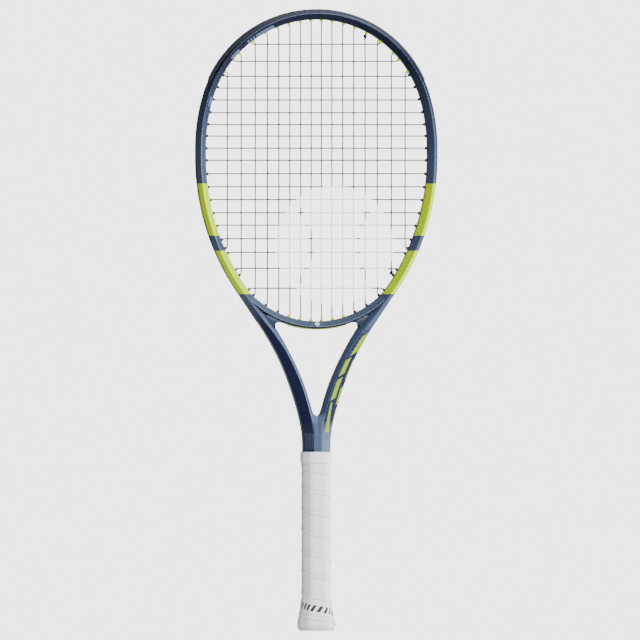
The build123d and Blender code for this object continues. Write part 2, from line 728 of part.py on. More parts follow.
def pallet_half(envelope, front):
    """One foam shell of the handle, hollowed to sit on the tubes."""
    block = octagons([(PALLET_BOTTOM, PALLET_WIDTH, PALLET_DEPTH), (PALLET_TOP, PALLET_WIDTH, PALLET_DEPTH)])
    half = Solid.make_box(80, 40, LENGTH, Plane((-40, -40 if front else 0, 0)))
    return block.intersect(half).solid().cut(envelope).solid()


def flare(extra):
    """Octagons of the cap's flare, each height with its share of the narrowing, made wider by extra."""
    narrowing = BUTT_FLARE - 2 * CAP_WALL
    return [(z, BUTT_WIDTH - share * narrowing + extra, BUTT_DEPTH - share * narrowing + extra)
            for z, share in CAP_FORM]


def cap_outer():
    thin = 2 * CAP_WALL
    return octagons([(0, BUTT_WIDTH - 4, BUTT_DEPTH - 4), (2.5, BUTT_WIDTH - 0.6, BUTT_DEPTH - 0.6)]
                    + flare(0.0) + [(BUTT_HEIGHT, PALLET_WIDTH + thin, PALLET_DEPTH + thin)])


def butt_cap():
    """The moulded cap over the pallet's lower end, with the plug's opening in its floor."""
    ledge = 2 * CAP_LEDGE
    socket = octagons([(z, PALLET_WIDTH - ledge, PALLET_DEPTH - ledge) for z in (CAP_FLOOR, PALLET_BOTTOM)])
    seat = octagons([(z, PALLET_WIDTH, PALLET_DEPTH) for z in (PALLET_BOTTOM, BUTT_HEIGHT + 1)])
    opening = Solid.make_cylinder(PLUG_SKIRT_RADIUS + PLUG_GAP, CAP_FLOOR + 2, Plane((0, 0, -1)))
    recess = Solid.make_cylinder(PLUG_RADIUS + PLUG_GAP, PLUG_FLANGE + PLUG_GAP, Plane((0, 0, 0)))
    return cap_outer().cut(socket, seat, opening, recess)


def butt_plug():
    """The snap-in door in the butt: a flange, a skirt and a finger notch."""
    flange = Solid.make_cylinder(PLUG_RADIUS, PLUG_FLANGE)
    skirt = Solid.make_cylinder(PLUG_SKIRT_RADIUS, PLUG_LENGTH)
    hollow = Solid.make_cylinder(PLUG_SKIRT_RADIUS - WALL, PLUG_LENGTH, Plane((0, 0, PLUG_FLANGE)))
    across = 4 * PLUG_RADIUS
    corner = Plane((-PLUG_SLOT / 2, -across / 2, PLUG_FLANGE + PLUG_SLOT / 2))
    slots = [Solid.make_box(PLUG_SLOT, across, PLUG_LENGTH, corner).rotate(Axis.Z, a) for a in (45, 135)]
    notch = Solid.make_box(NOTCH_WIDTH, 2, 1.2, Plane((-NOTCH_WIDTH / 2, -PLUG_RADIUS - 0.6, -0.1)))
    return flange.fuse(skirt).cut(hollow, *slots, notch)


def grip_tape():
    """The wound grip over the cap's flare and the pallet, as one plain sleeve."""
    thick = 2 * GRIP_THICKNESS
    start = (GRIP_START, BUTT_WIDTH + thick - 1.6, BUTT_DEPTH + thick - 1.6)
    outer = octagons([start] + flare(thick)
                     + [(BUTT_HEIGHT + 6, GRIP_WIDTH, GRIP_DEPTH), (GRIP_TOP, GRIP_WIDTH, GRIP_DEPTH)])
    bore = octagons([(z, PALLET_WIDTH, PALLET_DEPTH) for z in (0, GRIP_TOP + 1)])
    tape = outer.cut(bore, cap_outer())
    return max(tape.solids(), key=lambda solid: solid.volume)


def finishing_tape():
    """The adhesive band that holds the grip's top end, under the collar."""
    wide = 2 * FINISHING_TAPE
    outer = octagons([(z, PALLET_WIDTH + wide, PALLET_DEPTH + wide) for z in (GRIP_TOP, PALLET_TOP)])
    inner = octagons([(z, PALLET_WIDTH, PALLET_DEPTH) for z in (GRIP_TOP - 1, PALLET_TOP + 1)])
    return outer.cut(inner)


def grip_collar():
    """The rubber ring over the end of the grip, free to roll up the stem."""
    bore_width = max(STEM_WIDTH, PALLET_WIDTH + 2 * FINISHING_TAPE) + 2 * COLLAR_BORE_GAP
    bore_depth = max(BEAM, PALLET_DEPTH + 2 * FINISHING_TAPE) + 2 * COLLAR_BORE_GAP
    width, depth = bore_width + 2 * COLLAR_WALL, bore_depth + 2 * COLLAR_WALL
    profile = [(0, COLLAR_BULGE), (0.3, 0), (0.8, 0), (1, 2 * COLLAR_BULGE)]
    outer = octagons([(COLLAR_BOTTOM + part * COLLAR_HEIGHT, width - less, depth - less)
                      for part, less in profile])
    bore = octagons([(z, bore_width, bore_depth) for z in (COLLAR_BOTTOM - 1, COLLAR_TOP + 1)])
    return outer.cut(bore)


def staple(x, y, z, inward):
    """A wire staple lying flat on a face that looks along x or y, its legs going in."""
    half, leg, r = STAPLE_CROWN / 2, inward * STAPLE_LEG, STAPLE_WIRE
    across = Vector(0, 1, 0) if inward.X else Vector(1, 0, 0)
    first, second = Vector(x, y, z) - across * half, Vector(x, y, z) + across * half
    wire = rounded_path([first + leg, first, second, second + leg], [2 * r, 2 * r])
    return sweep(Face(Wire.make_circle(r, Plane(wire @ 0, z_dir=wire % 0))), path=wire)


def butt_cap_staples():
    """Two staples that pin the cap to the pallet, one each side."""
    reach = PALLET_WIDTH / 2 + CAP_WALL + 0.25
    return Compound([staple(sign * reach, 0, CAP_STAPLE_HEIGHT, Vector(-sign, 0, 0)) for sign in (1, -1)])


def grip_start_staple():
    """The staple that pins the tape's first end to the butt cap."""
    return staple(0, PALLET_DEPTH / 2 + CAP_WALL + 0.5, START_STAPLE_HEIGHT, Vector(0, -1, 0))


# ---- write every node ----

def write(name, shape):
    solids = shape.solids()
    whole = solids[0] if len(solids) == 1 else Compound(solids)
    export_step(whole, f"parts/{name}.step")
    print(name, len(solids), round(sum(solid.volume for solid in solids), 1))


def main():
    os.makedirs("parts", exist_ok=True)
    envelope = hairpin_envelope()
    holes = drills()
    cord = string()
    staples, start_staple = butt_cap_staples(), grip_start_staple()
    side_strip = side_grommet_strip()
    cap = butt_cap().cut(*staples.solids(), start_staple)
    tape = grip_tape().cut(*staples.solids(), start_staple)
    front, back = (pallet_half(envelope, side).cut(*staples.solids(), start_staple) for side in (True, False))
    write("frame_hairpin", frame_hairpin(envelope, groove(), holes).cut(*staples.solids(), start_staple))
    write("throat_bridge", throat_bridge(envelope, holes))
    write("bumper_guard", bumper_guard())
    write("crown_grommet_strip", crown_grommet_strip())
    write("side_grommet_strip_right", side_strip)
    write("side_grommet_strip_left", side_strip.mirror(Plane.YZ))
    write("bridge_grommet_strip", bridge_grommet_strip())
    write("bridge_end_grommets", bridge_end_grommets())
    write("string", cord)
    write("string_knots", string_knots(cord))
    write("pallet_front", front)
    write("pallet_back", back)
    write("butt_cap", cap)
    write("butt_cap_staples", staples)
    write("grip_start_staple", start_staple)
    write("grip_tape", tape)
    write("finishing_tape", finishing_tape())
    write("grip_collar", grip_collar())
    write("butt_plug", butt_plug())


main()
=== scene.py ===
import bpy
import numpy as np
from math import cos, radians, sin
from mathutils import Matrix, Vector


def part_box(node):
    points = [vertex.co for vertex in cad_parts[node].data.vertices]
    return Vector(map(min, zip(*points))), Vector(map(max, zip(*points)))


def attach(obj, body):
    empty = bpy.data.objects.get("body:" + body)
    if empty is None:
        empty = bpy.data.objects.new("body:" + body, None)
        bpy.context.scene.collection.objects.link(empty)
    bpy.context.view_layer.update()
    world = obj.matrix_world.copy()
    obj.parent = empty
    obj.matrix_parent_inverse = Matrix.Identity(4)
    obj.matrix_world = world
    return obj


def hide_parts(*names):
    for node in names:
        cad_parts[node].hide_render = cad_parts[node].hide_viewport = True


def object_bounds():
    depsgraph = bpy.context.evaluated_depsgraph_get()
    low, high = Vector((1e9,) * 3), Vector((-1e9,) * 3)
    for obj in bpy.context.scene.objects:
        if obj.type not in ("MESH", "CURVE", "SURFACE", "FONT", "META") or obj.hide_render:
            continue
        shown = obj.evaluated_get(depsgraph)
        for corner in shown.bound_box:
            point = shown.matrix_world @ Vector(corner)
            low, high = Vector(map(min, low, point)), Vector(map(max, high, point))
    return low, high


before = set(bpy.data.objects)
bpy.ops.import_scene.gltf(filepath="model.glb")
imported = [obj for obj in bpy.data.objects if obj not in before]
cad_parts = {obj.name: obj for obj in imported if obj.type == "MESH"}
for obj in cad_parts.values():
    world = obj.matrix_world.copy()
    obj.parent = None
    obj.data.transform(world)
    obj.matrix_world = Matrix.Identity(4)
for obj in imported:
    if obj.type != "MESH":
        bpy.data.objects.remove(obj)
cad_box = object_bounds()


# ---- the studio ----
# A pale floor under the racket, which hangs just above it as if held by its grip, a white room,
# a large soft light at the front right, a weaker one in front and another behind, and a long-lens camera.

MM = 0.001
FLOOR_LEVEL = -16 * MM
FLOOR_REACH = 6.0
FLOOR_GLOW, GLOW_SHARE = 2.6, 0.6
ROOM_LIGHT, BACKDROP_LIGHT = 0.3, 3.7
VIEW_WIDTH = 705.6 * MM
VIEW_TURN = radians(-9)
VIEW_RIGHT = 4.1 * MM
VIEW_DISTANCE = 3.0


def join(tree, *pairs):
    """Links outputs to inputs in a material's or the world's nodes."""
    for source, target in pairs:
        tree.links.new(source, target)


floor_mesh = bpy.data.meshes.new("studio_floor")
square = ((-1, -1), (1, -1), (1, 1), (-1, 1))
floor_corners = [(x * FLOOR_REACH, y * FLOOR_REACH, FLOOR_LEVEL) for x, y in square]
floor_mesh.from_pydata(floor_corners, [], [(0, 1, 2, 3)])
studio_floor = bpy.data.objects.new("studio_floor", floor_mesh)
bpy.context.scene.collection.objects.link(studio_floor)

floor_paint = bpy.data.materials.new("studio_floor")
floor_paint.use_nodes = True
floor_nodes = floor_paint.node_tree
matt = floor_nodes.nodes["Principled BSDF"]
matt.inputs["Base Color"].default_value = (0.8, 0.8, 0.8, 1)
matt.inputs["Roughness"].default_value = 0.9
glow = floor_nodes.nodes.new("ShaderNodeEmission")
glow.inputs["Strength"].default_value = FLOOR_GLOW
clear = floor_nodes.nodes.new("ShaderNodeBsdfTransparent")
even = floor_nodes.nodes.new("ShaderNodeMixShader")
seen_share = floor_nodes.nodes.new("ShaderNodeMath")
seen_share.operation = "MULTIPLY"
seen_share.inputs[1].default_value = GLOW_SHARE
one_sided = floor_nodes.nodes.new("ShaderNodeMixShader")
join(floor_nodes,
     (floor_nodes.nodes.new("ShaderNodeLightPath").outputs["Is Camera Ray"], seen_share.inputs[0]),
     (seen_share.outputs[0], even.inputs[0]),
     (matt.outputs[0], even.inputs[1]),
     (glow.outputs[0], even.inputs[2]),
     (floor_nodes.nodes.new("ShaderNodeNewGeometry").outputs["Backfacing"], one_sided.inputs[0]),
     (even.outputs[0], one_sided.inputs[1]),
     (clear.outputs[0], one_sided.inputs[2]),
     (one_sided.outputs[0], floor_nodes.nodes["Material Output"].inputs["Surface"]))
floor_mesh.materials.append(floor_paint)


def aim(thing, place, target):
    """Stands a light or the camera at place, looking at target."""
    bpy.context.scene.collection.objects.link(thing)
    thing.location = place
    thing.rotation_euler = (Vector(target) - Vector(place)).to_track_quat("-Z", "Y").to_euler()


def softbox(name, place, target, size, power):
    """A square studio light."""
    lamp = bpy.data.lights.new(name, "AREA")
    lamp.size, lamp.energy = size, power
    aim(bpy.data.objects.new(name, lamp), place, target)


racket_middle = (cad_box[0] + cad_box[1]) / 2
softbox("key_light", (2.1, -0.9, 0.8), racket_middle, 0.9, 110)
softbox("front_fill", (0.5, -2.4, 1.1), racket_middle, 0.9, 62)
softbox("back_light", (0.7, 2.2, 1.3), racket_middle, 1.2, 50)

room = bpy.data.worlds.new("white_room")
room.use_nodes = True
room_nodes = room.node_tree
walls = room_nodes.nodes["Background"]
walls.inputs["Color"].default_value = (0.93, 0.96, 1.0, 1)
walls.inputs["Strength"].default_value = ROOM_LIGHT
backdrop = room_nodes.nodes.new("ShaderNodeBackground")
backdrop.inputs["Color"].default_value = (1, 1, 1, 1)
backdrop.inputs["Strength"].default_value = BACKDROP_LIGHT
seen_or_lit = room_nodes.nodes.new("ShaderNodeMixShader")
join(room_nodes,
     (room_nodes.nodes.new("ShaderNodeLightPath").outputs["Is Camera Ray"], seen_or_lit.inputs[0]),
     (walls.outputs[0], seen_or_lit.inputs[1]),
     (backdrop.outputs[0], seen_or_lit.inputs[2]),
     (seen_or_lit.outputs[0], room_nodes.nodes["World Output"].inputs["Surface"]))
bpy.context.scene.world = room

lens = bpy.data.cameras.new("camera")
lens.type = "ORTHO"
lens.ortho_scale = VIEW_WIDTH
camera = bpy.data.objects.new("camera", lens)
back = Vector((sin(VIEW_TURN), -cos(VIEW_TURN), 0))
aside = Vector((cos(VIEW_TURN), sin(VIEW_TURN), 0)) * VIEW_RIGHT
view_centre = Vector((0, 0, cad_box[0].z + cad_box[1].z)) / 2 + aside
aim(camera, view_centre + back * VIEW_DISTANCE, view_centre)
bpy.context.scene.camera = camera


# ---- the frame tube ----
# One hollow carbon tube, moulded round the head, down both shafts and side by side into the handle.
# It is painted in blue-greys with two yellow bands a side, and lacquered.

TRACK_LENGTH = 700.0
MOST_CUT = 0.45
TRACK_STEP = 0.1
CROWN_RADIUS, CROWN_TURN = 126.0, 73.4
SHOULDER_RADIUS, SHOULDER_TURN = 200.0, 16.6
SIDE_RUN = 10.5
FLANK_RADIUS, SHAFT_LEAN = 255.0, 35.5
FORK_RADIUS, STEM_RADIUS, STEM_TURN = 305.0, 120.0, 12.0
TUBE_WIDTH = 10.8
BEAM = 24.0
GROOVE_DEPTH = 2.4
GROOVE_HALF = 3.6
BUMPER_THICKNESS = 0.9
STEM_HALF = 15.0
FORK_FLOOR = 237.4
FORK_ROUND = 3.0
RIDGE_HALF = 0.6
OUTER_HALF = 7.0
CROWN_Z = cad_box[1].z / MM - BUMPER_THICKNESS - TUBE_WIDTH / 2


def hoop_track():
    """Where the tube's centreline is, every tenth of a millimetre from the crown down.

    The heading below level turns evenly along each arc and holds along each straight. The place is the
    running sum of its cosine and sine.
    """
    crown, lean, stem = radians(CROWN_TURN), radians(SHAFT_LEAN), radians(STEM_TURN)
    bends = [(CROWN_RADIUS, CROWN_TURN), (SHOULDER_RADIUS, SHOULDER_TURN), (None, SIDE_RUN),
             (FLANK_RADIUS, SHAFT_LEAN), (None, None), (FORK_RADIUS, STEM_TURN - SHAFT_LEAN),
             (STEM_RADIUS, -STEM_TURN)]
    side = CROWN_RADIUS * sin(crown) + SHOULDER_RADIUS * (1 - sin(crown)) - FLANK_RADIUS * (1 - cos(lean))
    inwards = FORK_RADIUS * (cos(stem) - cos(lean)) + STEM_RADIUS * (1 - cos(stem))
    shaft_run = (side - inwards - STEM_HALF / 2) / sin(lean)
    reach, heading = [0.0], [0.0]
    for radius, amount in bends:
        length = radius * abs(radians(amount)) if radius else (amount or shaft_run)
        reach.append(reach[-1] + length)
        heading.append(heading[-1] + (amount if radius else 0.0))
    s = np.arange(0, TRACK_LENGTH, TRACK_STEP)
    turn = np.radians(np.interp(s, reach, heading))
    middle = (turn[1:] + turn[:-1]) / 2
    x = np.concatenate([[0], np.cumsum(np.cos(middle))]) * TRACK_STEP
    z = CROWN_Z - np.concatenate([[0], np.cumsum(np.sin(middle))]) * TRACK_STEP
    return s, x, z, turn, reach


TRACK_S, TRACK_X, TRACK_Z, TRACK_TURN, BEND_ENDS = hoop_track()


def hoop(s, u=0.0, v=0.0):
    """Points at s along the hoop (minus on the left), u outwards from the centreline and v to the back."""
    s = np.asarray(s, float)
    a = np.abs(s)
    x, z = np.interp(a, TRACK_S, TRACK_X), np.interp(a, TRACK_S, TRACK_Z)
    turn = np.interp(a, TRACK_S, TRACK_TURN)
    x, z = x + u * np.sin(turn), z + u * np.cos(turn)
    x, v, z = np.broadcast_arrays(np.where(s < 0, -x, x), v, z)
    return np.stack([x, v, z], -1)


def unit(vectors):
    return vectors / np.maximum(np.linalg.norm(vectors, axis=-1, keepdims=True), 1e-9)


def rounded(corners, cuts, steps=5):
    """Closed outlines (..., n, 2) with each corner swapped for a curve that starts and ends cuts away.

    The curve is the quadratic one from a point on the side before, pulled by the corner, to a point on
    the side after. Also gives each point's place round the outline, counted in corners.
    """
    before, after = np.roll(corners, 1, -2), np.roll(corners, -1, -2)
    to_before = np.linalg.norm(before - corners, axis=-1, keepdims=True)
    to_after = np.linalg.norm(after - corners, axis=-1, keepdims=True)
    back = np.minimum(np.asarray(cuts)[:, None] / np.maximum(to_before, 1e-6), MOST_CUT)
    on = np.minimum(np.asarray(cuts)[:, None] / np.maximum(to_after, 1e-6), MOST_CUT)
    t = np.linspace(0, 1, steps)[:, None]
    ways = (corners + (before - corners) * back, corners, corners + (after - corners) * on)
    a, b, c = (way[..., None, :] for way in ways)
    curve = a * (1 - t) ** 2 + b * 2 * t * (1 - t) + c * t ** 2
    place = np.arange(corners.shape[-2])[:, None] + np.linspace(-1, 1, steps) * 0.2
    flat = curve.reshape(*corners.shape[:-2], -1, 2)
    return flat, np.broadcast_to(place.reshape(-1), flat.shape[:-1])


def skin(name, grids, uvs=None, around=0.0, close_rows=False, sharp=38):
    """One mesh object over grids of rings, each (rows, columns, 3) in millimetres or a stack of those.

    Each ring closes on itself, and the first and last rings are closed by a fan round their middle.
    Faces look outwards: each grid's signed volume says which way round its corners go. A uv runs on by
    around where a ring comes back to its first column.
    """
    points, loops, sizes, places, done = [], [], [], [], 0
    for grid, uv in zip(grids, uvs or [None] * len(grids)):
        stack = np.asarray(grid, float)
        stack = stack.reshape(-1, *stack.shape[-3:])
        count, rows, columns = stack.shape[:3]
        r = np.arange(rows if close_rows else rows - 1)[:, None]
        c = np.arange(columns)[None, :]
        r2, c2 = (r + 1) % rows, (c + 1) % columns
        quads = np.stack([r * columns + c, r * columns + c2, r2 * columns + c2, r2 * columns + c], -1)
        quads = quads.reshape(-1, 4)
        ring = np.arange(columns)
        fans = np.zeros((0, 3), int)
        flat = stack.reshape(count, -1, 3)
        if not close_rows:
            flat = np.concatenate([flat, stack[:, :1].mean(2), stack[:, -1:].mean(2)], 1)
            last, hub = (rows - 1) * columns + ring, np.full(columns, rows * columns)
            fans = np.concatenate([np.stack([hub, np.roll(ring, -1), ring], -1),
                                   np.stack([hub + 1, last, np.roll(last, -1)], -1)])
        wraps = np.tile([False, True, True, False], len(quads)).reshape(-1, 4)
        wraps &= quads[:, :1] % columns == columns - 1
        wraps = np.concatenate([wraps.ravel(), np.zeros(fans.size, bool)])
        p = flat[0][quads]
        volume = (np.cross(p[:, 0], p[:, 1]) * p[:, 2]).sum() + (np.cross(p[:, 0], p[:, 2]) * p[:, 3]).sum()
        order = np.concatenate([quads.ravel(), fans.ravel()])
        corners = np.concatenate([np.full(len(quads), 4), np.full(len(fans), 3)])
        if volume < 0:
            turned = np.concatenate([np.arange(quads.size).reshape(-1, 4)[:, ::-1].ravel(),
                                     quads.size + np.arange(fans.size).reshape(-1, 3)[:, ::-1].ravel()])
            order, wraps = order[turned], wraps[turned]
        each = flat.shape[1]
        loops.append((order[None] + np.arange(count)[:, None] * each + done).ravel())
        sizes.append(np.tile(corners, count))
        if uvs:
            uv = np.broadcast_to(uv, (*np.shape(grid)[:-1], 2)).reshape(count, rows, columns, 2)
            hubs = np.stack([uv[:, 0].mean(1), uv[:, -1].mean(1)], 1)[:, :each - rows * columns]
            place = np.concatenate([uv.reshape(count, -1, 2), hubs], 1)[:, order]
            place[..., 1] += around * wraps
            places.append(place.reshape(-1, 2))
        points.append(flat.reshape(-1, 3))
        done += count * each
    points, loops, sizes = np.concatenate(points), np.concatenate(loops), np.concatenate(sizes)
    mesh = bpy.data.meshes.new(name)
    mesh.vertices.add(len(points))
    mesh.vertices.foreach_set("co", (points * MM).ravel())
    mesh.loops.add(len(loops))
    mesh.loops.foreach_set("vertex_index", loops)
    mesh.polygons.add(len(sizes))
    mesh.polygons.foreach_set("loop_start", np.cumsum(sizes) - sizes)
    mesh.polygons.foreach_set("loop_total", sizes)
    mesh.update(calc_edges=True)
    if uvs:
        mesh.uv_layers.new(name="surface").data.foreach_set("uv", np.concatenate(places).ravel())
    mesh.validate()
    mesh.shade_smooth()
    mesh.set_sharp_from_angle(angle=radians(sharp))
    made = bpy.data.objects.new(name, mesh)
    bpy.context.scene.collection.objects.link(made)
    return made


class Value:
    """One output of a finish's nodes, or a number. Sums on it add Math nodes."""

    def __init__(self, finish, socket):
        self.finish, self.socket = finish, socket

    def maths(self, operation, *terms):
        return self.finish.node("Math", {"operation": operation}, dict(enumerate(terms)))

    def __add__(self, other): return self.maths("ADD", self, other)
    def __sub__(self, other): return self.maths("SUBTRACT", self, other)
    def __mul__(self, other): return self.maths("MULTIPLY", self, other)
    def __truediv__(self, other): return self.maths("DIVIDE", self, other)
    def __rsub__(self, other): return self.maths("SUBTRACT", other, self)
    def __gt__(self, other): return self.maths("GREATER_THAN", self, other)
    def __lt__(self, other): return self.maths("LESS_THAN", self, other)
    def __mod__(self, other): return self.maths("FLOORED_MODULO", self, other)
    __radd__, __rmul__ = __add__, __mul__

    def size(self): return self.maths("ABSOLUTE", self)
    def root(self): return self.maths("SQRT", self)
    def wave(self): return self.maths("SINE", self)

    def between(self, low, high):
        """1 where the value lies between low and high, else 0."""
        return (self > low) * (self < high)

    def among(self, ranges):
        """1 where the value lies in one of these ranges, which don't meet, else 0."""
        return sum(self.between(low, high) for low, high in ranges)

    def rise(self, low, high):
        """0 below low, 1 above high, and an even climb between."""
        return self.finish.node("MapRange", {"clamp": True}, {0: self, 1: low, 2: high})


class Finish:
    """A material for one of the racket's surfaces, built from nodes."""

    def __init__(self, name, constants):
        self.material = bpy.data.materials.new(name)
        self.material.use_nodes = True
        self.tree = self.material.node_tree
        self.shader = self.tree.nodes["Principled BSDF"]
        for socket, value in constants.items():
            self.shader.inputs[socket].default_value = (*value, 1) if isinstance(value, tuple) else value

    def node(self, kind, settings, inputs, out=0):
        """A node of this kind with its settings made first, then its inputs, as one of its outputs."""
        made = self.tree.nodes.new("ShaderNode" + kind)
        for key, value in settings.items():
            if key == "stops":
                ramp = made.color_ramp
                ramp.elements[0].position, ramp.elements[1].position = value[0][0], value[-1][0]
                ramp.elements[0].color, ramp.elements[1].color = (*value[0][1], 1), (*value[-1][1], 1)
                for position, colour in value[1:-1]:
                    ramp.elements.new(position).color = (*colour, 1)
            else:
                setattr(made, key, value)
        for key, value in inputs.items():
            if isinstance(value, Value):
                self.tree.links.new(value.socket, made.inputs[key])
            elif isinstance(value, tuple) and made.inputs[key].type == "RGBA":
                made.inputs[key].default_value = (*value, 1)
            else:
                made.inputs[key].default_value = value
        return Value(self, made.outputs[out])

    def over(self, below, above, share):
        """One colour laid over another where share is 1."""
        return self.node("Mix", {"data_type": "RGBA"}, {0: share, 6: below, 7: above}, 2)

    def coats(self, hull, *coats):
        """Colours laid over hull in turn, each a colour or its code, with the share that it covers."""
        for colour, share in coats:
            hull = self.over(hull, tint(colour) if isinstance(colour, str) else colour, share)
        return hull

    def place(self):
        """Object coordinates in millimetres, as x, y and z."""
        spot = self.node("TexCoord", {}, {}, 3)
        return [self.node("SeparateXYZ", {}, {0: spot}, i) * 1000 for i in range(3)]

    def surface_place(self):
        """The piece's own UV map, as u and v."""
        spot = self.node("UVMap", {"uv_map": "surface"}, {})
        return [self.node("SeparateXYZ", {}, {0: spot}, i) for i in range(2)]

    def grain(self, scale, detail=2.0, rough=0.5, stretch=(1.0, 1.0, 1.0)):
        """Noise in Object coordinates, about 0.5 on the whole, scale being cells per metre."""
        spot = self.node("TexCoord", {}, {}, 3)
        spot = self.node("Mapping", {}, {"Vector": spot, "Scale": stretch})
        return self.node("TexNoise", {}, {"Vector": spot, "Scale": scale, "Detail": detail,
                                         "Roughness": rough})

    def lay(self, hull, roughness, height, depth):
        """Links the colour, the roughness and bumps, this deep in millimetres where height is 1."""
        bump = self.node("Bump", {}, {"Height": height, "Distance": depth * MM, "Strength": 1.0})
        for socket, value in (("Base Color", hull), ("Roughness", roughness), ("Normal", bump)):
            self.tree.links.new(value.socket, self.shader.inputs[socket])
        return self


def dress(piece, finish, body, slot, *nodes):
    """Gives a new piece its finish and its body, and hides the CAD nodes that it stands in for."""
    piece.data.materials.append(finish.material)
    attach(piece, body)
    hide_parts(*nodes)


TUBE_CUTS = [1.1, 1.3, 0.9, 1.1, 0.25, 0.4, 0.4, 0.25, 1.1, 0.9, 1.3, 1.1]
GROOVE_END = BEND_ENDS[4] + 34
SHAFT_BEND = BEND_ENDS[5]
BEND_LENGTH = BEND_ENDS[6] - SHAFT_BEND


def tube_form(s):
    """The tube's width and ridge share at s, its inner wall's half depth, and its groove's share."""
    at = [0, BEND_ENDS[4], SHAFT_BEND, SHAFT_BEND + 0.34 * BEND_LENGTH, SHAFT_BEND + 0.67 * BEND_LENGTH,
          BEND_ENDS[6], BEND_ENDS[7]]
    width = np.interp(s, at, [TUBE_WIDTH, TUBE_WIDTH, 12.8, 13.6, 15.4, 15.3, STEM_HALF])
    ridge = np.interp(s, at, [0.38, 0.38, 0.43, 0.70, 0.74, 0.74, 0.74])
    height = hoop(s)[..., 2]
    inner = np.interp(height, [214, 228, 237, 245], [BEAM / 2, 11.2, 8.8, 5.0])
    groove = np.interp(s, [GROOVE_END - 2, GROOVE_END + 1], [1.0, 0.0])
    return width, ridge, inner, groove


def tube_rings(s):
    """The tube's outlines at each s, in (u, v): inner wall, ridge, outer wall and groove, front and back.

    Near the fork the inner wall is drawn towards the middle of the racket by a quarter ellipse, and
    below the fork's floor it lies on the middle, where the two halves meet.
    """
    a = np.abs(s)
    width, ridge, inner, groove = tube_form(a)
    turn = np.interp(a, TRACK_S, TRACK_TURN)
    centre = hoop(a)
    inner_u = -width / 2
    for _ in range(6):
        height = centre[:, 2] + inner_u * np.cos(turn)
        rise = np.clip((height - FORK_FLOOR) / FORK_ROUND, 0, 1)
        apart = np.sqrt(1 - (1 - rise) ** 2)
        inner_x = (centre[:, 0] - width / 2 * np.sin(turn)) * apart - TUBE_CUTS[0] * (1 - apart)
        drawn_in = (inner_x - centre[:, 0]) / np.sin(turn + 1e-9)
        inner_u = np.where(height < FORK_FLOOR + FORK_ROUND, drawn_in, -width / 2)
    peak = width / 2 - ridge * width
    outer = width / 2
    floor = outer - (outer - TUBE_WIDTH / 2 + GROOVE_DEPTH) * groove
    half = BEAM / 2
    ones = np.ones_like(s)
    front = [(inner_u, inner), (peak - RIDGE_HALF, half * ones), (peak + RIDGE_HALF, half * ones),
             (outer, OUTER_HALF * ones), (outer, GROOVE_HALF * ones), (floor, GROOVE_HALF * ones)]
    corners = [(u, -v) for u, v in front] + [(u, v) for u, v in reversed(front)]
    corners = np.stack([np.stack(pair, -1) for pair in corners], 1)
    return rounded(corners, TUBE_CUTS)


def tube_mesh():
    """The tube's outlines carried from its left end round the crown to its right end."""
    top = np.arange(0, BEND_ENDS[5], 1.6)
    fork = np.arange(BEND_ENDS[5], BEND_ENDS[7] + 18, 0.7)
    half = np.concatenate([top, fork])
    s = np.concatenate([-half[:0:-1], half])
    outline, place = tube_rings(s)
    rings = hoop(s[:, None], outline[..., 0], outline[..., 1])
    uv = np.stack([np.broadcast_to(s[:, None], place.shape), place], -1)
    return skin("frame_tube", [rings], [uv], around=12)


def tint(code):
    """A colour written as six hexadecimal digits, as the linear values a shader takes."""
    parts = [int(code[i:i + 2], 16) / 255 for i in (0, 2, 4)]
    return tuple(p / 12.92 if p <= 0.04045 else ((p + 0.055) / 1.055) ** 2.4 for p in parts)


FACET_MIDDLE = 5.5
NAVY, SLATE, YELLOW = tint("070b26"), tint("3b475e"), (0.44, 0.62, 0.0)
YELLOW_BANDS = [(435.9, 493.3), (371.5, 419.2)]
BLADE_FOOT = 219
LIGHT_BLOCKS = [(51, 74), (76, 78.2), (79.6, 81.8), (83.2, 86), (99, 112), (161, 172)]
BLADES = [(305, 326, 0.34, 0.86), (284, 302, 0.04, 0.52), (274, 296, 0.84, 1.2), (257, 280, 0.14, 0.52),
          (247, 266, 0.74, 1.2), (219, 241, 0.88, 1.2)]


def frame_paint(name):
    """The frame's lacquered paint, before its colours."""
    return Finish(name, {"Metallic": 0.1, "Coat Weight": 0.06, "Coat Roughness": 0.12,
                         "Specular IOR Level": 0.14})


def lacquer(paint, hull, plain, rough):
    """Flakes and faint clouds over the paint where plain is 1, under a slightly uneven lacquer."""
    flake, cloud = paint.grain(2600), paint.grain(14, 3.0)
    hull = paint.coats(hull, ("66749a", flake.rise(0.52, 0.75) * plain * 0.06),
                       ("101828", cloud.rise(0.3, 0.8) * plain * 0.12))
    roughness = cloud.rise(0.35, 0.75) * 0.09 + flake * 0.05 + rough
    return paint.lay(hull, roughness, paint.grain(900) * 0.6 + paint.grain(140, 1.0) * 0.4, 0.03)


